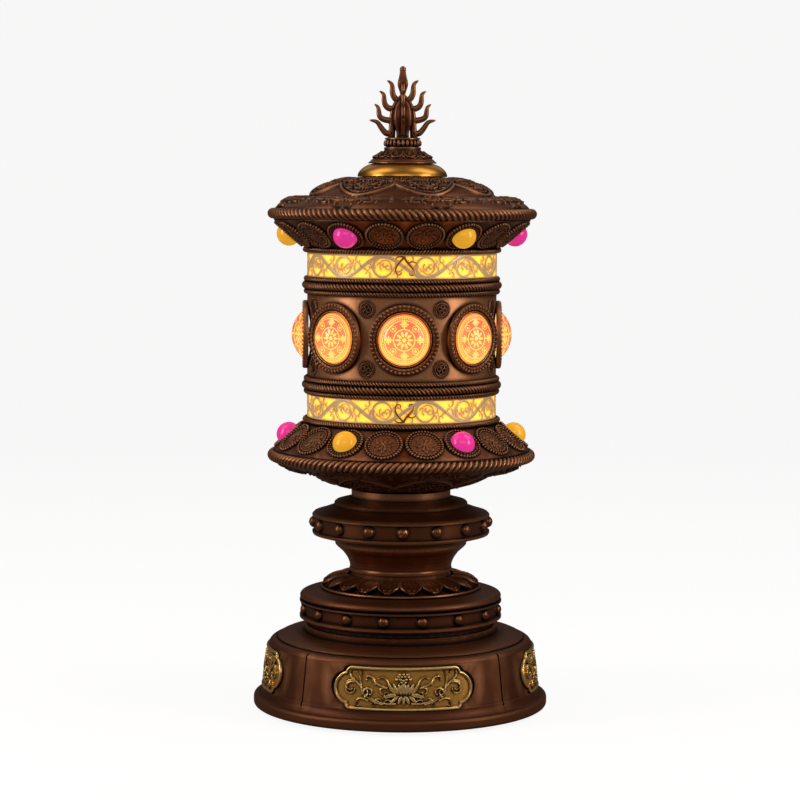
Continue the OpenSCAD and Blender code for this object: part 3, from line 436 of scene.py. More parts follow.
class Pile:
    # gathers closed shells and turns them into one Blender mesh

    def __init__(self):
        self.points, self.faces, self.marks, self.finishes, self.count = [], [], [], [], 0

    def add(self, points, faceBlocks, relief=0.5, rise=0.5, finish=0):
        # relief marks how high a point stands; on raised tops it drives the painted highlight, on the medallion discs
        # it picks out the print, and on the lenses it marks the painted amber
        points = np.asarray(points, float).reshape(-1, 3)
        marks = np.zeros((len(points), 2))
        marks[:, 0], marks[:, 1] = relief, rise
        self.points.append(points)
        self.marks.append(marks)
        for block in faceBlocks:
            self.faces.extend((np.asarray(block, int) + self.count).tolist())
            self.finishes.extend([finish] * len(block))
        self.count += len(points)

    def build(self, name, body, materials, replaced, slotName, sharp=38.0, weld=False):
        # the piece rides on a body and takes the place of imported nodes; slotName is not used
        mesh = bpy.data.meshes.new(name)
        mesh.from_pydata((np.concatenate(self.points) * mm).tolist(), [], self.faces)
        marks = np.concatenate(self.marks)
        for label, column in (("relief", 0), ("rise", 1)):
            layer = mesh.attributes.new(label, "FLOAT", "POINT")
            layer.data.foreach_set("value", marks[:, column].astype(np.float32))
        mesh.polygons.foreach_set("material_index", np.array(self.finishes, np.int32))
        mesh.shade_smooth()
        work = bmesh.new()
        work.from_mesh(mesh)
        if weld:
            bmesh.ops.remove_doubles(work, verts=work.verts, dist=2e-6)
        bmesh.ops.recalc_face_normals(work, faces=work.faces)
        work.to_mesh(mesh)
        work.free()
        mesh.set_sharp_from_angle(angle=math.radians(sharp))
        for material in materials if isinstance(materials, list) else [materials]:
            mesh.materials.append(material)
        piece = bpy.data.objects.new(name, mesh)
        bpy.context.scene.collection.objects.link(piece)
        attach(piece, body)
        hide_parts(*replaced)


def turned(pile, profile, segments=96, place=None, relief=0.5, finish=0):
    # turns (r, z) points round the axis; ends at r = 0 become poles, other profiles close on themselves
    profile = np.asarray(profile, float)
    poles = [profile[0, 0] < 1e-6, profile[-1, 0] < 1e-6]
    ring = profile[(1 if poles[0] else 0):(-1 if poles[1] else None)]
    a = np.arange(segments) / segments * tau
    points = np.stack([ring[:, :1] * np.cos(a), ring[:, :1] * np.sin(a),
                       np.repeat(ring[:, 1:], segments, 1)], -1).reshape(-1, 3)
    blocks = [gridFaces(len(ring), segments, wrapRows=not any(poles))]
    for end, row in ((0, 0), (-1, (len(ring) - 1) * segments)):
        if poles[end]:
            blocks.append(fanFaces(row, segments, len(points)))
            points = np.append(points, [[0, 0, profile[end, 1]]], 0)
    pile.add(place(points) if place else points, blocks, relief, 0.5, finish)


def arc(cx, cz, rx, rz, start, stop, steps):
    a = np.radians(np.linspace(start, stop, steps))
    return np.column_stack([cx + rx * np.cos(a), cz + rz * np.sin(a)])


def joined(*runs):
    return np.concatenate([np.asarray(r, float).reshape(-1, 2) for r in runs])


class Surface:
    # a turned surface given by (r, z) points; u runs round it in millimetres at refRadius, v along the profile

    def __init__(self, profile, refRadius, turn=0.0):
        self.p = np.asarray(profile, float)
        step = np.hypot(*np.diff(self.p, axis=0).T)
        self.v = np.concatenate([[0], np.cumsum(step)])
        t = np.gradient(self.p, self.v, axis=0)
        t /= np.linalg.norm(t, axis=1)[:, None]
        self.n = np.column_stack([t[:, 1], -t[:, 0]])
        self.ref, self.turn = refRadius, turn

    def __call__(self, q):
        q = np.asarray(q, float)
        u, v, h = q[..., 0], q[..., 1], q[..., 2]
        r, z, nr, nz = (np.interp(v, self.v, c) for c in (*self.p.T, *self.n.T))
        a = np.radians(front + self.turn) + u / self.ref
        radius = r + nr * h
        return np.stack([radius * np.cos(a), radius * np.sin(a), z + nz * h], -1)


def localPlace(angle, radius, z, tilt=0.0):
    # a flat frame at that place: x to the right seen from outside, y up, h outwards; tilt leans h upwards
    a, t = math.radians(angle), math.radians(tilt)
    out = np.array([math.cos(a) * math.cos(t), math.sin(a) * math.cos(t), math.sin(t)])
    right = np.array([-math.sin(a), math.cos(a), 0.0])
    up = np.cross(out, right)
    origin = np.array([math.cos(a) * radius, math.sin(a) * radius, z])
    return lambda q: origin + q[..., 0:1] * right + q[..., 1:2] * up + q[..., 2:3] * out


def spun(points, angle):
    # turns points about the wheel's axis
    a = math.radians(angle)
    x, y, z = points.T
    return np.column_stack([x * math.cos(a) - y * math.sin(a), x * math.sin(a) + y * math.cos(a), z])


def sweepLine(x, y, heading, length, bendStart, bendEnd, steps=14):
    # a line that turns by so many degrees per millimetre, changing evenly along its length
    t = (np.arange(steps) + 0.5) / steps
    a = np.radians(heading + np.cumsum(bendStart + (bendEnd - bendStart) * t) * length / steps)
    return np.column_stack([x + np.concatenate([[0], np.cumsum(np.cos(a))]) * length / steps,
                            y + np.concatenate([[0], np.cumsum(np.sin(a))]) * length / steps])


def smoothLine(points, steps):
    points = np.asarray(points, float)
    s = np.concatenate([[0], np.cumsum(np.hypot(*np.diff(points, axis=0).T))])
    t = np.linspace(0, s[-1], steps)
    line = np.column_stack([np.interp(t, s, points[:, 0]), np.interp(t, s, points[:, 1])])
    for _ in range(steps // 4):
        line[1:-1] = (line[:-2] + line[1:-1] * 2 + line[2:]) / 4
    return line


def widths(count, form, width):
    t = np.linspace(0, 1, count)
    if form == "leaf":
        return width * (0.12 + 0.88 * np.sin(np.pi * t ** 0.8) ** 0.8)
    if form == "horn":
        return width * (1 - 0.7 * t)
    return np.full(count, width)


def stroke(pile, line, width, height, place, sink=0.5, sides=6, finish=0, crest=0.8):
    # a half-round ridge along a line, closed below the surface
    count = len(line)
    width = np.broadcast_to(width, count)
    height = np.broadcast_to(height, count)
    along = np.gradient(line, axis=0)
    along /= np.maximum(np.linalg.norm(along, axis=1), 1e-9)[:, None]
    side = np.column_stack([-along[:, 1], along[:, 0]])
    a = np.linspace(0, math.pi, sides)
    across, rise = -np.cos(a), np.sin(a) ** crest
    flat = line[:, None, :] + side[:, None, :] * (width[:, None] * across)[..., None]
    top = np.concatenate([flat, (height[:, None] * rise)[..., None]], -1)
    foot = np.concatenate([flat[:, [-1, 0], :], np.full((count, 2, 1), -sink)], -1)
    ring = np.concatenate([top, foot], 1)
    pile.add(place(ring.reshape(-1, 3)), tubeFaces(count, sides + 2), 0.8, 0.5, finish)


def dome(pile, x, y, radius, height, place, sink=0.4, segments=8, rings=3, finish=0):
    # a low round bead with its foot sunk into the surface
    e = np.linspace(0, math.pi / 2, rings + 1)[:-1]
    levels = [(radius, -sink)] + [(radius * math.cos(k), height * math.sin(k)) for k in e]
    points = [[x + px, y + py, h] for r, h in levels for px, py in spots(r, segments)] + [[x, y, height]]
    last = (len(levels) - 1) * segments
    blocks = [gridFaces(len(levels), segments), fanFaces(last, segments, last + segments), [list(range(segments))]]
    pile.add(place(np.array(points)), blocks, 0.9, 0.5, finish)


class Relief:
    # heights pressed into scattered surface points by strokes and beads

    def __init__(self, x, y):
        self.x, self.y = x, y
        self.h = np.zeros(x.shape)

    def line(self, line, width, height, vein=0.0, period=None):
        # a rounded ridge; period repeats it along x, vein is the depth of a groove down its middle
        width = np.broadcast_to(width, len(line))
        for shift in (0,) if period is None else (-period, 0, period):
            for (px, py), (qx, qy), wp, wq in zip(line[:-1] + (shift, 0), line[1:] + (shift, 0), width, width[1:]):
                w = max(wp, wq)
                near = np.nonzero((self.x > min(px, qx) - w) & (self.x < max(px, qx) + w)
                                  & (self.y > min(py, qy) - w) & (self.y < max(py, qy) + w))
                if not len(near[0]):
                    continue
                dx, dy = qx - px, qy - py
                x, y = self.x[near] - px, self.y[near] - py
                t = np.clip((x * dx + y * dy) / max(dx * dx + dy * dy, 1e-9), 0, 1)
                far = np.hypot(x - dx * t, y - dy * t) / (wp + (wq - wp) * t)
                part = np.clip(1 - far ** 2, 0, 1) ** 0.5 * height
                if vein:
                    part *= 1 - vein * np.exp(-(far / 0.28) ** 2)
                self.h[near] = np.maximum(self.h[near], part)

    def bead(self, x, y, radius, height, period=None):
        for shift in (0,) if period is None else (-period, 0, period):
            far = np.hypot(self.x - x - shift, self.y - y)
            near = far < radius
            self.h[near] = np.maximum(self.h[near], height * np.sqrt(1 - (far[near] / radius) ** 2))

    def ring(self, x, y, radius, width, height):
        self.line(np.array(spots(radius, 40) + [(radius, 0)]) + (x, y), width, height)

    def petals(self, x, y, start, length, count, turn, width, height, vein, steps=6, period=None):
        # straight leaves that point away from a middle
        for k, (px, py) in enumerate(spots(start, count, turn)):
            leaf = sweepLine(x + px, y + py, turn + 360 / count * k, length, 0, 0, steps)
            self.line(leaf, widths(steps + 1, "leaf", width), height, vein, period)

    def curls(self, table, height, knob, knobHeight, at=(0, 0), size=1.0, fat=1.0, steps=14, period=None):
        # mirrored rows of x, y, heading, length, bend at start and end, width; "leaf" ends a row without a knob
        for sign in (1, -1):
            for x, y, heading, length, b0, b1, wide, *leaf in table:
                line = sweepLine(x, y, heading, length, b0, b1, steps) * (sign * size, size) + at
                form, vein = ("leaf", 0.45) if leaf else ("horn", 0)
                self.line(line, widths(steps + 1, form, wide * fat), height, vein, period)
                if not leaf:
                    self.bead(*line[-1], wide * knob, knobHeight, period)


def polarPlate(heights, inner, outer, rings, points, lift, foot, full=1.0, skirtMark=0.0):
    # a round plate with relief over a polar grid, closed below at foot: points, faces, marks
    r = np.linspace(inner, outer, rings)
    gr, ga = np.meshgrid(r, np.arange(points) / points * tau, indexing="ij")
    x, y = gr * np.cos(ga), gr * np.sin(ga)
    h = heights(x, y)
    top = np.stack([x, y, h + lift], -1).reshape(-1, 3)
    skirt = top[-points:] * (1, 1, 0) + (0, 0, foot)
    plate = np.concatenate([top, skirt, [[0, 0, h[0].mean() + lift], [0, 0, foot]]])
    last = rings * points
    blocks = [gridFaces(rings + 1, points), fanFaces(0, points, last + points),
              fanFaces(last, points, last + points + 1)]
    return plate, blocks, np.concatenate([np.clip(h.ravel() / full, 0, 1), np.full(points, skirtMark), [1, 0]])


# ropes round the drum
ropeSet = dict(
    rim=dict(radius=64.5, rise=60.3, thick=2.55, pitch=3.1, strands=3, groove=0.26, sides=24, hands=(-1, 1)),
    middle=dict(radius=47.9, rise=24.9, thick=2.0, pitch=2.1, strands=4, groove=0.3, sides=22, hands=(1, 1)),
    inner=dict(radius=47.7, rise=21.8, thick=1.35, pitch=1.6, strands=3, groove=0.32, sides=16, hands=(1, 1)),
    outer=dict(radius=47.7, rise=28.0, thick=1.35, pitch=1.6, strands=3, groove=0.32, sides=16, hands=(1, 1)),
    neck=dict(radius=48.2, rise=42.4, thick=1.35, pitch=1.6, strands=3, groove=0.32, sides=16, hands=(1, -1)),
)


def rope(pile, z, s, hand):
    # a torus with slanting grooves, as several strands laid round each other
    wraps = round(tau * s["radius"] / s["pitch"])
    steps = wraps * 7
    a = np.arange(steps) / steps * tau
    b = np.arange(s["sides"]) / s["sides"] * tau
    turns = np.abs(np.sin((wraps * a[:, None] + hand * s["strands"] * b[None, :]) / 2)) ** 0.7
    rad = s["thick"] * (1 + 0.04 - s["groove"] * (1 - turns) * 1.5)
    r = s["radius"] + rad * np.cos(b)
    points = np.stack([r * np.cos(a)[:, None], r * np.sin(a)[:, None], z + rad * np.sin(b)], -1)
    # the strand mark lightens the strand tops as painted highlight
    pile.add(points, [gridFaces(steps, s["sides"], wrapRows=True)], turns.ravel())


for level, sign in (("lower", -1), ("upper", 1)):
    ropes = Pile()
    for s in ropeSet.values():
        rope(ropes, zMid + sign * s["rise"], s, s["hands"][sign > 0])
    ropes.build(level + "Ropes", "drum", bronze, [level + "_ropes"], "bronze", sharp=75)
print("ropes done")

# pierced bands
bandSet = dict(
    radius=46.9, low=29.0, high=41.0, scrolls=14, ring=4.75, ringWidth=0.8, stem=0.95, height=0.5, sink=0.35,
    rail=0.45, skin=0.7,
    # side curls below the crest of each wave: x, y, heading, length, bend at start and end, width
    curls=((-6.0, 2.4, 250, 6.6, 4, 62, 0.55), (-6.6, -5.0, 60, 5.2, 14, 66, 0.5),
           (-4.6, 1.2, 190, 3.4, 20, 70, 0.42),
           (6.2, 2.3, 285, 6.4, -6, -64, 0.55), (9.6, -0.6, 250, 5.0, -10, -66, 0.5),
           (7.6, -5.2, 130, 5.4, -12, -66, 0.5),
           (4.7, -1.4, -20, 3.2, -20, -76, 0.42), (-9.4, -0.6, -60, 4.4, 18, 70, 0.45)),
    # the dark motif at the front: two curls that lean together over small tails
    front=(([(0, -4.8), (-2.6, -2.2), (-4.4, 0.6), (-4.2, 3.2), (-2.4, 4.3), (-1.0, 3.0), (-1.6, 1.5), (-2.6, 1.9)],
            0.5),
           ([(0, -4.8), (1.0, -2.6), (3.0, -0.4), (4.9, 1.6), (4.8, 3.8), (3.0, 4.4), (1.9, 3.0), (2.9, 2.0)], 0.55),
           ([(0, -4.8), (-2.4, -5.2), (-4.4, -4.2), (-4.0, -2.7), (-2.9, -3.2)], 0.42),
           ([(1.5, -1.7), (3.6, -2.8), (5.6, -2.2), (5.9, -0.8), (4.9, -0.7)], 0.42)),
    # the floret inside each ring
    floret=((0.3, 2.0, 235, 4.6, 26, 74, 0.5), (2.6, 1.2, 250, 4.2, -26, -80, 0.46),
            (-0.6, -1.4, 150, 4.4, -24, -76, 0.46),
            (1.4, -0.4, 290, 4.0, 26, 84, 0.44), (-2.6, 0.6, 110, 3.2, -30, -84, 0.4)),
)


def filigree(level, sign):
    s = bandSet
    r, rail, sink = s["radius"], s["rail"], s["sink"]
    zLow, zHigh = sorted((zMid + sign * s["low"], zMid + sign * s["high"]))
    pile = Pile()
    span = tau * r / s["scrolls"]
    half = (zHigh - zLow) / 2
    wall = Surface([(r, zLow - 1), (r, zHigh + 1)], r)
    for z in (zLow + rail, zHigh - rail):
        back = [(r - s["skin"], z + rail), (r - s["skin"], z - rail)]
        turned(pile, joined(arc(r, z, s["height"], rail, -90, 90, 7), back), 240)
    for k in range(s["scrolls"]):
        flip = sign if k % 2 else -sign
        x0 = (k + 0.5) * span

        def ridge(line, width, form="horn", knob=1.45, finish=0):
            line = line * (1, flip) + (x0 * (1 - finish), half + 1)
            wide = widths(len(line), form, width)
            tall = s["height"] + 0.12 * finish
            stroke(pile, line, wide, tall * (0.55 + 0.45 * wide / wide.max()), wall, sink, finish=finish, crest=0.3)
            if knob:
                dome(pile, *line[-1], wide[-1] * knob, tall, wall, sink, segments=7, rings=2, finish=finish)

        # the running wave passes over this ring and on to the next one
        x = np.linspace(-0.52, 0.52, 27) * span
        ridge(np.column_stack([x, (half - 1.0) * np.cos(math.pi * x / span)]), s["stem"], "even", 0)
        # the ring leaves the wave and winds inwards
        turn = np.linspace(96, 500, 46)
        far = s["ring"] * np.interp(turn, [96, 330, 420, 500], [1, 1, 0.8, 0.42])
        ridge(np.column_stack([far * np.cos(np.radians(turn)), far * np.sin(np.radians(turn))]), s["ringWidth"])
        for x, y, heading, length, b0, b1, wide in s["curls"] + s["floret"]:
            ridge(sweepLine(x, y, heading, length, b0, b1, 13), wide)
        if k == 0:
            for points, wide in s["front"]:
                ridge(smoothLine(points, 26), wide, finish=1)
    pile.build(level + "Filigree", "drum", [brassFiligree, bronze], [level + "_filigree"], "filigree", sharp=50)


filigree("lower", -1)
filigree("upper", 1)
print("filigree done")

# roof and dish with cast relief
capSet = dict(
    rim=60.3, brims=(8.0, 6.6),
    # radius, part of the brim's height
    brim=((63.8, 0.02), (64.0, 0.2), (63.7, 0.32), (62.6, 0.46), (60.4, 0.68), (58.2, 0.84), (56.3, 0.95),
          (54.4, 1.0), (52.0, 1.0), (50.2, 0.98)),
    # radius, part of the way from the valley to the top
    crown=((47.6, 0.02), (46.6, 0.14), (45.1, 0.26), (43.1, 0.39), (40.7, 0.53), (37.7, 0.655), (33.9, 0.775),
           (29.5, 0.88), (24.0, 0.965), (19.0, 1.0)),
    brimPoints=34, crownPoints=44, innerPoints=9, inner=19.0, skin=2.2, swags=8, turn=16.1, refRadius=46.0,
    crownRelief=1.2, brimRelief=1.1, repeatPoints=120, rows=112,
    # curls on each side of a floret: x, y, heading, length, bend at start and end, width
    floret=((2.6, -1.8, 10, 9, 6, 34, 0.7), (2.8, 1.6, 20, 8, -6, -40, 0.68), (6.2, 2.6, 60, 6.5, -10, -50, 0.6),
            (1.0, 3.0, 80, 5, -16, -56, 0.55), (7.4, -1.6, -10, 6, 20, 52, 0.6), (8.6, 1.2, 0, 5, -16, -60, 0.55)),
    # leaves and curls that part from the brim's berries
    brimCurls=((1.4, 0.2, 28, 8.5, -4, -34, 0.8), (1.4, -0.6, -24, 8.0, 5, 38, 0.75),
               (4.0, 0.0, 4, 6.5, 0, 0, 1.0, "leaf"),
               (8.0, 2.2, 20, 5.5, -12, -50, 0.6), (8.0, -2.4, -20, 5.5, 12, 50, 0.6),
               (10.4, 0.0, 0, 4.0, 0, 0, 0.9, "leaf"),
               (3.0, 3.0, 60, 5.0, 14, 56, 0.5), (3.0, -3.2, -60, 5.0, -14, -56, 0.5)),
)


def capProfile(high, brimHigh):
    s = capSet
    valley = s["rim"] + brimHigh * 0.93
    brim = smoothLine([(r, s["rim"] + brimHigh * f) for r, f in s["brim"]], s["brimPoints"])
    top = smoothLine([(r, valley + (high - valley) * f) for r, f in s["crown"]], s["crownPoints"])
    return joined(brim, [(48.6, valley - 0.2)], top, [(s["inner"], high)])


def swagRelief(x, y, crownFoot, brimMid, period):
    r = Relief(x, y)
    s = capSet
    c, b = s["crownRelief"], s["brimRelief"]
    # swags that hang from peak to peak, doubled by a thinner line, over smooth triangles
    t = np.linspace(-1, 1, 25)
    for drop, wide, high in ((0.0, 1.0, c), (2.3, 0.6, c * 0.75)):
        swag = np.column_stack([t * period / 2, crownFoot + 1.6 + drop + 9.4 * np.abs(t) ** 1.8])
        r.line(swag, wide, high, period=period)
    # florets with curls, one in each swag and two ranks above
    for cx, rise, size in ((0, 8.6, 1.0), (period / 2, 16.5, 1.0), (0, 18.5, 0.9)):
        mid = crownFoot + rise
        r.petals(cx, mid, 0.7 * size, 2.2 * size, 6, 0, 1.0, c * 0.95, 0.4, 5, period)
        r.bead(cx, mid, 0.9, c * 1.15, period)
        r.curls(s["floret"], c * 0.9, 0.8, c, (cx, mid), size, period=period)
        for sign in (1, -1):
            r.bead(cx + sign * 12.4 * size, mid + 0.4, 0.8, c * 0.9, period)
    # border line at the crown's foot
    r.h = np.maximum(r.h, 0.55 * np.sqrt(np.clip(1 - ((y - crownFoot - 0.2) / 0.8) ** 2, 0, 1)))
    # the brim: leaves that part from a berry, with a lozenge between
    r.curls(s["brimCurls"], b * 0.9, 0.75, b, (0, brimMid), period=period)
    berry = [(px, py, 0.75, b) for px, py in spots(1.25, 5, 18)] + [(0, 0, 0.8, b * 1.2)]
    pairs = [(px, py, 0.6, b * 0.8) for px in (12.6, -12.6) for py in (1.8, -1.8)]
    lozenge = [(period / 2, py, size, b) for py, size in ((-2.2, 0.5), (0, 0.85), (2.2, 0.5))]
    for px, py, size, high in berry + pairs + lozenge:
        r.bead(px, brimMid + py, size, high, period)
    return r.h


def castCap(name, nodeName, sign, high):
    s = capSet
    ref, swags, skinRows = s["refRadius"], s["swags"], s["innerPoints"]
    shape = Surface(capProfile(high, s["brims"][sign < 0]), ref, s["turn"])
    crownFoot, top = shape.v[s["brimPoints"] + 1], shape.v[-1]
    columns = swags * s["repeatPoints"]
    period = tau * ref / swags
    v = np.linspace(0, top, s["rows"])
    u = (np.arange(s["repeatPoints"]) / s["repeatPoints"] - 0.5) * period
    # one repeat, faded out at both edges
    tile = swagRelief(*np.meshgrid(u, v), crownFoot, crownFoot * 0.46, period)
    tile = tile * (np.clip((v - 1.0) / 2.0, 0, 1) * np.clip((top - v) / 2.0, 0, 1))[:, None]
    whole = np.tile(tile, (1, swags))
    around = np.arange(columns) / columns * tau * ref - period / 2
    heights = np.concatenate([whole, np.full((skinRows, columns), -s["skin"])])
    up = np.concatenate([v, np.linspace(top, 0, skinRows)])
    grid = np.stack([*np.meshgrid(around, up), heights], -1)
    points = shape(grid).reshape(-1, 3)
    points[:, 2] = zMid + sign * points[:, 2]
    pile = Pile()
    pile.add(points, [gridFaces(len(up), columns, wrapRows=True)], np.clip(heights / s["crownRelief"], 0, 1).ravel())
    pile.build(name, "drum", bronze, [nodeName], "bronze", sharp=60)


castCap("roofCast", "roof", 1, roofHigh - zMid)
castCap("dishCast", "bottom_dish", -1, zMid - dishLow)
print("roof and dish done")

# medallions
medallionSet = dict(
    count=8, face=48.4, disc=12.35, lens=12.5, lensRise=6.6, lensFoot=-0.5, lensSteps=24, amber=2.6, rim=13.4,
    rimWire=0.3, recess=14.2, outer=17.0, beads=((16.15, 48, 0.95), (14.7, 44, 0.7)), relief=0.42, points=168,
    rings=72,
)


def discRelief(x, y):
    # the design is drawn a little small in the middle, because the lens enlarges it there
    s = medallionSet
    zoom = 1 + 0.15 * (1 - (x * x + y * y) / s["disc"] ** 2)
    m = Relief(x * zoom, y * zoom)
    high, edge = s["relief"], s["disc"] - 0.5
    for radius, wide, tall in ((edge - 0.55, 0.5, high), (edge - 2.5, 0.34, 0.34), (5.1, 0.32, 0.4)):
        m.ring(0, 0, radius, wide, tall)
    for px, py in spots(edge - 1.55, 60):
        m.bead(px, py, 0.5, high)
    # centre: a ten petalled flower
    m.petals(0, 0, 1.6, 2.8, 10, 0, 0.72, high, 0.5)
    m.bead(0, 0, 1.15, 0.55)
    # small rounds on the diagonals and florets between them
    for px, py in spots(7.55, 4, 45):
        m.ring(px, py, 1.45, 0.26, 0.36)
        m.bead(px, py, 0.8, high)
    for middle in spots(7.5, 4):
        for j, ray in enumerate(spots(1.0, 8)):
            ends = [[0.5], [1.35 if j % 2 else 1.75]]
            m.line(np.array(ends) * ray + middle, np.array([0.3, 0.46]), high)
        m.bead(*middle, 0.5, 0.3)
    return m.h


def buildMedallions():
    s = medallionSet
    lens, rise, o, rc, rm = s["lens"], s["lensRise"], s["outer"], s["recess"], s["rim"]
    discs, lenses, bezels = Pile(), Pile(), Pile()
    face, blocks, marks = polarPlate(discRelief, 0.08, s["disc"], s["rings"], s["points"],
                                     -0.3, -1.0, s["relief"], 0.9)
    tall = np.clip(face[:, 1] / s["disc"] / 2 + 0.5, 0, 1)
    # the lens is a slice of a ball
    ball = (lens ** 2 + rise ** 2) / (2 * rise)
    sweep = math.degrees(math.asin(lens / ball))
    cap = arc(0, rise - ball, ball, ball, 90 - sweep, 90, s["lensSteps"] + 1)[:-1]
    blank = Pile()
    turned(blank, joined([(0, s["lensFoot"]), (lens, s["lensFoot"])], cap, [(0, rise)]))
    lensPoints, lensFaces = blank.points[0], [[f for f in blank.faces if len(f) == n] for n in (3, 4)]
    collar = [(rm - 0.9, -1.6), (o, -1.6), (o, 0.3), (o - 0.25, 0.55), (rc + 0.1, 0.5), (rc - 0.35, 0.2),
              (rm + 0.35, -0.2), (rm - 0.9, -0.3)]
    for k in range(s["count"]):
        place = localPlace(front + 360 / s["count"] * k, s["face"], zMid)
        discs.add(place(face), blocks, marks, tall)
        # the lens's relief mark is where the painted amber tint and glow go, up to the amber height
        lenses.add(place(lensPoints), lensFaces, np.clip(1 - lensPoints[:, 2] / s["amber"], 0, 1))
        turned(bezels, collar, 144, place)
        turned(bezels, arc(rm - 0.3, 0.1, s["rimWire"], s["rimWire"], 0, 330, 12), 144, place, finish=1)
        for radius, number, size in s["beads"]:
            for px, py in spots(radius, number):
                dome(bezels, px, py, size, size * 0.95 + 0.35, place)
    discs.build("medallionDiscs", "drum", medallionFace, ["medallion_discs"], "medallion", sharp=60)
    lenses.build("medallionLenses", "drum", lensClear, ["medallion_lenses"], "lens")
    bezels.build("medallionBezels", "drum", [bronze, goldPlate], ["medallion_bezels"], "bronze", sharp=50)


buildMedallions()

coinSet = dict(rise=14.5, teeth=26, ring=3.75, wire=(0.36, 0.5), disc=3.1, tooth=(0.48, 0.62), loop=(0.36, 0.85))


def buildCoins():
    s = coinSet
    ring, disc = s["ring"], s["disc"]
    pile = Pile()
    for k in range(medallionSet["count"]):
        for side in (-1, 1):
            place = localPlace(front + 22.5 + 45 * k, drumRadius, zMid + side * s["rise"])

            def bend(q):
                return place(np.concatenate([q[..., :2], q[..., 2:3] - q[..., 0:1] ** 2 / (2 * drumRadius)], -1))
            turned(pile, arc(ring - 0.55, 0.15, *s["wire"], 0, 330, 10), 72, bend, relief=0.8)
            turned(pile, [(0, 0.22), (disc - 0.1, 0.22), (disc, 0.1), (disc, -0.5), (0, -0.5)], 48, bend)
            for px, py in spots(ring * 1.08, s["teeth"]):
                dome(pile, px, py, *s["tooth"], bend)
            # a knot of four loops
            for j, (px, py) in enumerate(spots(0.35, 4, 45)):
                stroke(pile, sweepLine(px, py, 90 * j - 17, 5.6, 56, 56), *s["loop"], bend)
            dome(pile, 0, 0, 0.55, 0.65, bend)
    pile.build("smallCoins", "drum", bronze, ["small_coins"], "bronze", sharp=50)


buildCoins()
print("medallions and coins done")

# canopy ornaments
ornamentSet = dict(
    places=18, radius=56.3, rise=50.4, tilt=40.6, gem=6.0, gemHeight=5.6, rows=((8.75, 36, 0.76), (7.2, 30, 0.66)),
    pad=8.4, padHeight=0.4, padFoot=-0.6, flower=5.6, flowerRings=30, flowerPoints=80,
    # outer and inner end, number, width, height and turn of each row of petals
    petals=((5.4, 3.0, 8, 1.25, 0.75, 0), (4.0, 1.6, 8, 1.0, 0.95, 22.5), (2.3, 0.6, 6, 0.7, 1.15, 10)),
)


def flowerRelief(x, y):
    # a round seed head in three rows of pointed petals
    m = Relief(x, y)
    for reach, start, number, wide, high, turn in ornamentSet["petals"]:
        m.petals(0, 0, start, reach - start, number, turn, wide, high, 0.5)
    m.bead(0, 0, 0.8, 1.35)
    return m.h


def buildOrnaments():
    s = ornamentSet
    g, rim, pad, high, foot = s["gem"], s["flower"], s["pad"], s["padHeight"], s["padFoot"]
    rosettes, collars, pinks, ambers = Pile(), Pile(), Pile(), Pile()
    flower, blocks, marks = polarPlate(flowerRelief, 0.06, rim + 0.9, s["flowerRings"], s["flowerPoints"], high * 0.5,
                                       foot)
    gemShape = joined([(0, 0.2), (g, 0.2)], arc(0, 0.7, g, s["gemHeight"], 0, 90, 18)[:-1],
                      [(0, 0.7 + s["gemHeight"])])
    padSide = [(pad, foot), (pad, high)]
    seat = [(g + 0.1, foot), *padSide, (g + 0.75, high + 0.1), (g + 0.55, 0.95), (g + 0.1, 0.95)]
    dish = [(rim + 0.3, foot), *padSide, (rim + 0.9, high), (rim + 0.3, 0.1)]
    for sign in (-1, 1):
        for k in range(s["places"]):
            # the slope faces outwards and towards the drum's middle
            angle = front + (k + 0.5) * 360 / s["places"]
            place = localPlace(angle, s["radius"], zMid + sign * s["rise"], -sign * (90 - s["tilt"]))
            if k % 3 == 1:
                pile = collars
                amber = ((k // 3) % 2 == 0) == (sign > 0)
                turned(ambers if amber else pinks, gemShape, 40, place)
                turned(pile, seat, 64, place)
            else:
                pile = rosettes
                turned(pile, dish, 64, place)
                pile.add(place(flower), blocks, marks)
            for radius, number, size in s["rows"]:
                for px, py in spots(radius, number):
                    dome(pile, px, py, size, size * 1.15 + high, place)
    rosettes.build("canopyRosettes", "drum", bronze, ["rosettes"], "bronze", sharp=50)
    collars.build("gemCollars", "drum", bronze, ["gem_collars"], "bronze", sharp=50)
    pinks.build("pinkGems", "drum", pinkGem, ["pink_gems"], "pink_gem", sharp=60)
    ambers.build("amberGems", "drum", amberGem, ["amber_gems"], "amber_gem", sharp=60)


buildOrnaments()
print("canopy ornaments done")

# studs
studSet = dict(
    upper=dict(count=16, radius=43.7, z=93.55, size=2.9, turn=0.0),
    lower=dict(count=16, radius=49.0, z=50.6, size=2.7, turn=11.25),
)


def buildStuds():
    for level, s in studSet.items():
        pile = Pile()
        g = s["size"]
        shank = [(0, -0.8), (g * 1.06, -0.8), (g * 1.06, -0.05)]
        shape = joined(shank, arc(0, 0, g, g * 0.88, 2, 90, 12)[:-1], [(0, g * 0.88)])
        for k in range(s["count"]):
            angle = front + s["turn"] + 360 / s["count"] * k
            turned(pile, shape, 36, localPlace(angle, s["radius"], s["z"]))
        pile.build(level + "Studs", "stand", bronze, [level + "_studs"], "bronze", sharp=60)


buildStuds()

# lotus ring
lotusSet = dict(
    petals=20, turn=-2.2, mesh=(36, 25), ribs=4, ribHeight=0.12, rimHeight=0.7, hollow=0.5, skin=1.1,
    # up the petal: radius, height over the ring's foot
    path=((27.0, 6.9), (30.5, 6.7), (33.5, 6.0), (36.2, 5.0), (38.0, 4.0), (39.0, 2.9), (39.2, 1.9)),
    wide=(4.0, 4.6, 5.1, 5.6, 5.8, 5.1, 3.4, 0.9),
    body=((24.0, 0.0), (39.8, 0.0), (40.2, 0.4), (40.2, 1.1), (39.7, 1.5), (39.0, 1.2), (37.5, 1.2), (36.0, 2.4),
          (33.0, 3.8), (29.5, 4.8),
          (24.0, 6.0)),
)
lotusLow = heights("lotus_ring")[0]


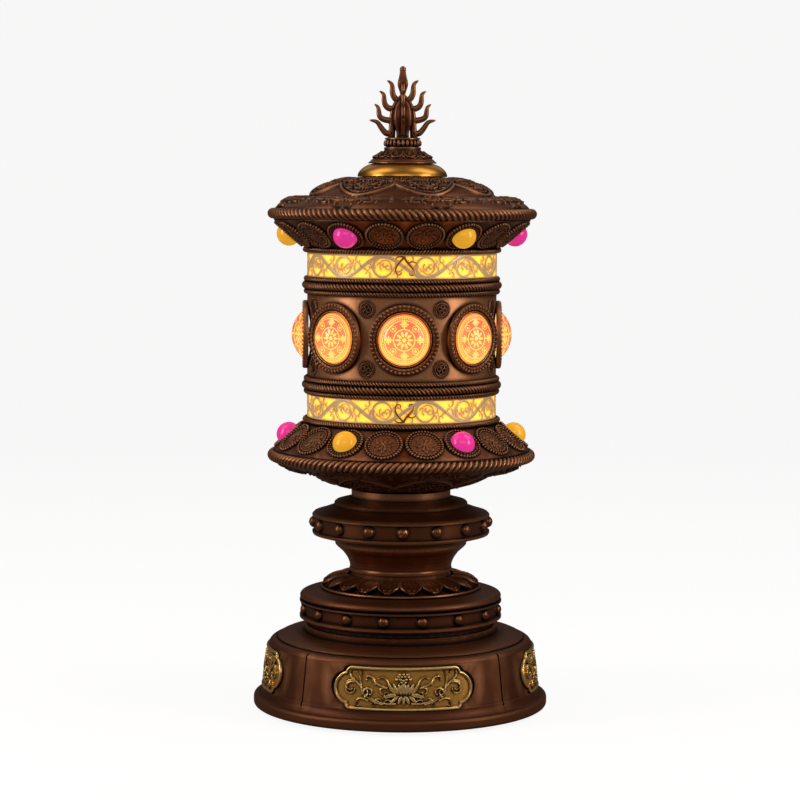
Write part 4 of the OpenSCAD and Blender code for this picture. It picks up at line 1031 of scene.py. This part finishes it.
def petal(pile, angle, path, halfWidths, thickness, lift):
    # a thick bent leaf: path is (r, z) up its middle, lift(x, t) its height over the path
    rows, columns = lotusSet["mesh"]
    t = np.linspace(0, 1, rows)
    fine = smoothLine(path, rows)
    wide = np.interp(t, np.linspace(0, 1, len(halfWidths)), halfWidths)
    along = np.gradient(fine, axis=0)
    along /= np.linalg.norm(along, axis=1)[:, None]
    normal = np.column_stack([-along[:, 1], along[:, 0]]) * np.sign(along[:1, 0])
    x = np.linspace(-1, 1, columns)
    back = np.broadcast_to(thickness * (0.7 * np.abs(x) ** 3 - 1), (rows, columns))
    sheets = [np.stack([fine[:, :1] + normal[:, :1] * raised, wide[:, None] * x,
                        fine[:, 1:] + normal[:, 1:] * raised], -1)
              for raised in (lift(x[None, :], t[:, None]), back)]
    points = np.concatenate([sheets[0], sheets[1][:, ::-1]], 1).reshape(-1, 3)
    pile.add(spun(points, angle), tubeFaces(rows, columns * 2))


def lotusLift(x, t):
    # a raised rim along the sides and over the tip, ribs in the hollow between
    s = lotusSet
    side = np.exp(-((1 - np.abs(x) - 0.1) / 0.1) ** 2)
    tip = np.exp(-((t - 0.92) / 0.05) ** 2) * (1 - x ** 2) ** 0.5
    ribs = np.cos(x * math.pi * s["ribs"]) * (1 - np.abs(x) ** 4) * np.clip((0.72 - t) / 0.1, 0, 1)
    curl = np.exp(-((np.abs(x) - 0.36) / 0.17) ** 2) * np.exp(-((t - 0.79) / 0.055) ** 2)
    rim = s["rimHeight"] * np.maximum(np.maximum(side, tip), curl * 0.8)
    return rim - s["hollow"] * (1 - x ** 2) * np.clip(t * 4, 0, 1) + s["ribHeight"] * ribs


def buildLotus():
    s = lotusSet
    pile = Pile()
    turned(pile, [(r, lotusLow + z) for r, z in s["body"]], 144)
    path = [(r, lotusLow + z) for r, z in s["path"]]
    for k in range(s["petals"]):
        angle = front + s["turn"] + 360 / s["petals"] * (k + 0.5)
        petal(pile, angle, path, s["wide"], s["skin"], lotusLift)
    pile.build("lotusRing", "stand", bronze, ["lotus_ring"], "bronze", sharp=55)


buildLotus()
print("studs and lotus done")

# plaques
plaqueSet = dict(
    halfBody=28.7, halfHigh=10.4, corner=3.0, lobe=8.1, lobeAt=26.4, spine=20.4, border=1.35, foot=-0.9,
    rings=66, points=700, reliefHeight=1.25, leafHeight=1.35, ridgeHeight=1.2,
    # the base's wall: its radius at a level, and what it gains per millimetre of height
    wall=69.0, wallLevel=11.4, wallSlope=(66.2 - 69.0) / 21.0,
    # half of the lotus: x, y, heading, length, width, height
    lotus=((0.0, -2.2, 90, 5.2, 1.5, 1.15), (1.1, -2.4, 72, 5.4, 1.25, 1.05), (2.4, -2.5, 58, 6.0, 1.15, 1.0),
           (3.6, -2.4, 46, 6.8, 1.0, 0.95), (0.9, -3.2, -62, 4.4, 1.0, 0.9), (2.4, -3.0, -40, 5.6, 1.05, 0.95),
           (3.4, -2.6, -6, 6.4, 1.2, 1.0), (0.0, -3.6, -90, 3.8, 0.9, 0.9)),
    # half of the seed head
    seeds=((0, 4.2), (1.5, 4.6), (0.8, 5.9), (2.4, 5.8), (0, 7.0), (1.8, 6.9), (0.9, 3.2), (3.2, 4.6)),
    # vine from below the flower out to the end spirals: x, y, heading, length, bend at start and end, width
    vine=((4.0, -6.8, -8, 15, 3.2, 2.2, 0.62), (10.0, -7.2, 10, 12, 2.0, 6.0, 0.55),
          (19.5, -2.4, 64, 12, 2.6, 6.0, 0.55),
          (21.0, 1.0, 58, 14, -4.0, -34, 0.62), (24.6, 4.2, 30, 9.0, 8, 44, 0.6),
          (24.0, 3.0, 14, 13.0, -12, -30, 0.7),
          (19.6, -2.2, 100, 8.0, 12, 44, 0.65), (18.4, -4.0, 150, 7.0, -16, -46, 0.6),
          (17.0, -5.6, 20, 9.0, 4, -42, 0.6),
          (11.0, -7.0, 70, 6.5, -14, -50, 0.5), (13.6, -6.8, 80, 5.5, 18, 58, 0.5),
          (8.0, 0.6, 20, 6.0, -12, -48, 0.6),
          (9.6, 1.2, 10, 9.0, 6, 4, 0.45), (13.6, 2.2, 70, 8.0, 6, -50, 0.62), (6.6, 1.4, 60, 7.6, 8, -36, 0.5),
          (6.0, -6.0, 60, 5.0, -20, -60, 0.5), (8.0, -4.4, 20, 5.0, 20, 60, 0.5)),
)


def plaqueOutline():
    # the union of a rounded bar and a round lobe at each end, found by distance along rays from a spine
    s = plaqueSet
    a = np.arange(s["points"]) / s["points"] * tau
    ax = np.cos(a)
    origin = np.column_stack([np.clip(ax * 1.25, -1, 1) * s["spine"], np.zeros(len(a))])
    # rays fan out at the ends and stand nearly upright along the body
    direction = np.column_stack([np.sign(ax) * np.abs(ax) ** 2.2, np.sin(a)])
    direction /= np.linalg.norm(direction, axis=1)[:, None]

    def inside(p):
        x, y = np.abs(p.T)
        bar = [np.maximum(d + s["corner"], 0) for d in (x - s["halfBody"], y - s["halfHigh"])]
        return np.minimum(np.hypot(*bar) - s["corner"], np.hypot(x - s["lobeAt"], y) - s["lobe"])
    reach = np.zeros(len(a))
    step = 16.0
    for _ in range(40):
        ok = inside(origin + direction * (reach + step)[:, None]) < 0
        reach = np.where(ok, reach + step, reach)
        step *= 0.72
    return origin, origin + direction * reach[:, None], inside


def plaqueHeights(x, y, border):
    s = plaqueSet
    m = Relief(x, y)
    h, edge = s["reliefHeight"], s["border"]
    # bowl of the lotus: pointed petals in three ranks, seed head above
    for sign in (1, -1):
        for x0, y0, heading, length, wide, high in s["lotus"]:
            bend = (1.5, 3.0) if heading > 0 else (-1.0, -3.0)
            line = sweepLine(x0, y0, heading, length, *bend, 8) * (sign, 1)
            m.line(line, widths(9, "leaf", wide), high * s["leafHeight"], 0.45)
        for x0, y0 in s["seeds"]:
            m.bead(x0 * sign, y0, 0.85, h)
    m.curls(s["vine"], h * 0.85, 0.8, h * 0.9, fat=1.15, steps=16)
    low = np.clip((border - edge - 0.1) / 0.5, 0, 1)
    ridge = np.clip(1 - ((border - edge * 0.55) / (edge * 0.62)) ** 2, 0, 1) ** 0.5
    return np.maximum(m.h * low, ridge * s["ridgeHeight"])


def buildPlaques():
    s = plaqueSet
    n, rows, slope = s["points"], s["rings"], s["wallSlope"]
    origin, edge, inside = plaqueOutline()
    t = np.linspace(0, 1, rows) ** 0.85
    flat = origin[None] + (edge - origin)[None] * t[:, None, None]
    border = -inside(flat.reshape(-1, 2)).reshape(flat.shape[:2])
    h = plaqueHeights(flat[..., 0], flat[..., 1], border)
    h[-1] = 0.15
    skirt = np.concatenate([edge, np.full((n, 1), s["foot"])], 1)
    points = np.concatenate([np.concatenate([flat, h[..., None]], -1).reshape(-1, 3), skirt])
    # the back is closed in strips from the upper edge to the lower
    upper = np.arange(0, n // 2 + 1)
    lower = (n - upper) % n
    back = rows * n
    strips = back + np.stack([upper[:-1], upper[1:], lower[1:], lower[:-1]], -1)[1:-1]
    far = back + n // 2
    blocks = [gridFaces(rows + 1, n), strips, [[back, back + 1, back + n - 1], [far, far + 1, far - 1]]]
    marks = np.concatenate([np.clip(h.ravel(), 0, 1), np.zeros(n)])
    for side, turn in (("Front", 0), ("Left", -90), ("Right", 90)):
        nodeName = side.lower() + "_plaque"
        low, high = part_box(nodeName)
        zc = (low.z + high.z) / 2 / mm
        rc = s["wall"] + slope * (zc - s["wallLevel"])
        x, y, out = points.T
        r, a = rc + slope * y + out, math.radians(front + turn) + x / rc
        pile = Pile()
        pile.add(np.column_stack([r * np.cos(a), r * np.sin(a), zc + y]), blocks, marks)
        pile.build("plaque" + side, "stand", goldPlate, [nodeName], "gold", sharp=55, weld=True)


buildPlaques()
print("plaques done")

# gold dome and finial
finialSet = dict(
    # inwards from the gold dome's foot, part of its height
    domeSide=((0, 0.05), (0.1, 0.2), (0.9, 0.42), (2.2, 0.62), (3.8, 0.79), (5.8, 0.92), (8.4, 1.0)),
    flame=35.8, finThick=1.05, bead=(8.6, 0.95, 1.6, 26), petals=12, petalHeight=0.8, bellRadius=12.0, petalPoints=36,
    finPoints=26, tongueWidth=1.5, spineWidth=(1.9, 1.1), flutes=4, bulbTip=(1.62, 1.7),
    # heights below the tip
    bulb=((0, 321.3), (1.0, 321.0), (1.7, 319.8), (1.85, 317.4), (2.4, 315.2), (3.2, 313.0), (3.1, 311.6),
          (2.3, 309.8), (1.45, 307.6),
          (1.35, 304.0), (1.5, 300.0), (0, 300.0)),
    jewel=((0, 305.2), (1.7, 305.0), (3.3, 303.5), (4.7, 301.5), (5.5, 299.0), (5.85, 296.0), (5.5, 293.0),
           (4.7, 290.9), (3.9, 289.6),
           (3.7, 288.0), (3.8, 284.6), (0, 284.6)),
    bell=((9.1, 280.5), (9.1, 279.7), (10.4, 278.6), (12.4, 277.2), (14.2, 276.3), (14.6, 275.9), (14.7, 275.5),
          (15.3, 275.1),
          (15.9, 274.6), (16.0, 274.3), (16.9, 273.8), (17.0, 273.2)),
    neck=((0, 285.9), (8.4, 285.9), (8.9, 285.5), (8.9, 285.1), (8.1, 284.9), (8.1, 281.3), (9.1, 281.1),
          (9.3, 280.7), (9.1, 280.2),
          (0, 280.2)),
    tip=321.3,
)
finTongues = [
    [(5.2, 2.7), (8.2, 2.2), (10.6, 5.2), (12.6, 8.4), (16.6, 9.1)],
    [(5.6, 8.7), (9.6, 9.4), (11.6, 10.6), (11.9, 13.6), (12.1, 15.8), (14.2, 17.0)],
    [(4.2, 14.6), (7.2, 14.8), (8.9, 16.6), (9.4, 19.5), (9.2, 22.0), (11.7, 23.5)],
    [(2.2, 18.5), (4.2, 20.0), (5.2, 22.5), (5.2, 26.0), (5.7, 27.5), (7.9, 28.7)],
]
finSpine = [(5.6, 0.2), (5.2, 4.5), (5.2, 9.0), (4.9, 13.5), (3.6, 17.5), (0.6, 20.8)]


def tongue(pile, line, width, thick, angle, z0):
    # a flat blade standing in a plane through the axis, oval in section
    along = np.gradient(line, axis=0)
    along /= np.linalg.norm(along, axis=1)[:, None]
    side = np.column_stack([-along[:, 1], along[:, 0]])
    sides = 10
    b = np.arange(sides) / sides * tau
    across, out = np.cos(b), np.sign(np.sin(b)) * np.abs(np.sin(b)) ** 0.7
    flat = line[:, None, :] + side[:, None, :] * (width[:, None] * across)[..., None]
    thickness = np.minimum(1, width / max(width) * 1.6)[:, None] * thick * out
    points = np.stack([flat[..., 0], thickness, z0 + flat[..., 1]], -1).reshape(-1, 3)
    pile.add(spun(points, angle), tubeFaces(len(line), sides))


def fluted(pile, profile, depth, steps=60, segments=96):
    # a turned body whose radius is drawn in by upright flutes
    line = smoothLine(profile, steps)
    a = np.arange(segments) / segments * tau
    groove = np.abs(np.cos(a * finialSet["flutes"] / 2))[None, :] ** 1.2
    r = np.maximum(line[:, :1], 0.05) * (1 - depth * groove)
    points = np.stack([r * np.cos(a), r * np.sin(a), np.repeat(line[:, 1:], segments, 1)], -1)
    pile.add(points.reshape(-1, 3), tubeFaces(steps, segments))


def buildFinial():
    s = finialSet
    shift = finialHigh - s["tip"]
    flameFoot = finialHigh - s["flame"]
    high, ref = s["petalHeight"], s["bellRadius"]
    pile = Pile()

    def moved(points):
        return np.asarray(points, float) + (0, shift)
    # seat: a bell with hanging petals in relief over two plate steps
    bell = moved(s["bell"])
    skin = Surface(bell[::-1], ref)
    columns = s["petals"] * s["petalPoints"]
    period = tau * ref / s["petals"]
    v = np.linspace(0, skin.v[-1], 64)
    u = np.arange(columns) / columns * tau * ref
    gu, gv = np.meshgrid(u, v)
    m = Relief((gu % period) - period / 2, gv)
    side = smoothLine([(0.47, 9.2), (0.44, 6.4), (0.3, 4.6), (0.0, 3.9)], 22) * (period, 1)
    for sign in (1, -1):
        m.line(side * (sign, 1), 0.5, high)
        m.bead(sign * period / 2, 4.3, 0.7, high)
    m.line(np.array([[0, 8.8], [0, 7.0], [0, 5.4]]), np.array([0.3, 0.85, 0.3]), high, 0.3)
    core = [[(math.cos(a), math.sin(a), z) for a in u / ref] for z in (bell[0, 1], bell[-1, 1])]
    rings = np.concatenate([skin(np.stack([gu, gv, m.h], -1)), core])
    pile.add(rings.reshape(-1, 3), [gridFaces(len(v) + 2, columns, wrapRows=True)])
    turned(pile, moved(s["neck"]), 120)
    radius, wide, tall, number = s["bead"]
    beadLevel = (s["neck"][3][1] + s["neck"][6][1]) / 2 + shift
    for px, py in spots(radius, number, 180 / number):
        turned(pile, arc(0, 0, wide, tall, -90, 90, 9), 12, lambda q: q + (px, py, beadLevel))
    fluted(pile, moved(s["jewel"])[1:-1], 0.16)
    fluted(pile, moved(s["bulb"])[1:-1], 0.14)
    tipWide, tipHigh = s["bulbTip"]
    turned(pile, arc(0, finialHigh - tipHigh, tipWide, tipHigh, 90, -90, 12), 32)
    count = s["finPoints"]
    t = np.linspace(0, 1, count)
    blade = s["tongueWidth"] * np.sqrt(np.clip(1 - t ** 3.5, 0.003, 1)) * (1.08 - 0.3 * t)
    for quarter in range(4):
        angle = front + 90 * quarter
        tongue(pile, smoothLine(finSpine, 24), np.linspace(*s["spineWidth"], 24), s["finThick"], angle, flameFoot)
        for path in finTongues:
            tongue(pile, smoothLine(path, count), blade, s["finThick"], angle, flameFoot)
    pile.build("flameFinial", "drum", bronze, ["finial"], "bronze", sharp=50)


def buildDome():
    rise = domeHigh - domeLow
    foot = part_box("gold_dome")[1].x / mm
    side = smoothLine([(foot - cut, domeLow + rise * part) for cut, part in finialSet["domeSide"]], 34)
    pile = Pile()
    turned(pile, joined([(0, domeLow), (foot - 0.3, domeLow)], side, [(0, domeHigh)]), 144)
    pile.build("goldDome", "drum", polishedGold, ["gold_dome"], "gold", sharp=40)


buildFinial()
buildDome()
print("finial done")

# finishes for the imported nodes
nodeFinish = {
    shadedBaseBronze: "base_shell rear_panel lower_pedestal",
    bronze: "waist_column upper_pedestal neck_collar drum_sleeve lower_canopy upper_canopy",
    coverPlastic: "bottom_cover",
    rubber: "rubber_feet",
    steel: "cover_screws motor_screws motor_shaft tube_nuts spindle hub_nut stand_tube drive_motor",
    sinteredBush: "lower_bearing upper_bearing contact_rings",
    alloy: "lower_hub upper_hub motor_bracket",
    nylon: "drive_gear pinion thrust_washer",
    blackPlastic: "slip_ring dc_socket power_switch power_button",
    board: "circuit_board",
    paper: "scripture_roll",
    whitePlastic: "led_carrier",
    ledChip: "led_chips",
    diffuserGlow: "lower_diffuser upper_diffuser",
}
for material, names in nodeFinish.items():
    for name in names.split():
        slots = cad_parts[name].data.materials
        slots.clear()
        slots.append(material)

# floor and surroundings
stageSet = dict(size=6.0, wall=2.2, curve=0.8, top=4.0, floor=srgb(112, 111, 110), floorLight=srgb(124, 124, 124),
                lift=0.9, glow=0.13)


def buildStage(s):
    wall, curve = s["wall"], s["curve"]
    bend = [(wall + curve * (math.sin(t) - 1), curve * (1 - math.cos(t))) for t in np.linspace(0, math.pi / 2, 12)]
    run = [(-s["size"], 0.0), *bend, (wall, s["top"])]
    points = [(x, y, z + tableLevel) for x in (-s["size"], s["size"]) for y, z in run]
    n = len(run)
    mesh = bpy.data.meshes.new("stageSweep")
    mesh.from_pydata(points, [], [(k, k + 1, n + k + 1, n + k) for k in range(n - 1)])
    mesh.shade_smooth()
    material, tree, shader = newMaterial("stagePaper", Roughness=0.9, Specular_IOR_Level=0.1,
                                         Emission_Color=(1, 1, 1, 1))
    tone = node(tree, "ShaderNodeTexNoise", {"Scale": 3.0}).outputs[0]
    seen = node(tree, "ShaderNodeLightPath").outputs["Is Camera Ray"]
    feed(tree, shader, {"Base Color": mixColour(tree, tone, s["floor"], s["floorLight"]),
                        "Emission Strength": math2(tree, "MULTIPLY", seen, s["lift"])})
    mesh.materials.append(material)
    piece = bpy.data.objects.new("stageSweep", mesh)
    bpy.context.scene.collection.objects.link(piece)
    world = bpy.data.worlds.new("studioAir")
    world.use_nodes = True
    air = world.node_tree
    seen = node(air, "ShaderNodeLightPath").outputs["Is Camera Ray"]
    strength = node(air, "ShaderNodeMix", {0: seen, 2: s["glow"], 3: 1.0}).outputs[0]
    feed(air, air.nodes["Background"], {0: (1, 1, 1, 1), 1: strength})
    bpy.context.scene.world = world


buildStage(stageSet)
bpy.context.scene.view_settings.view_transform = "Standard"
print("stage done")
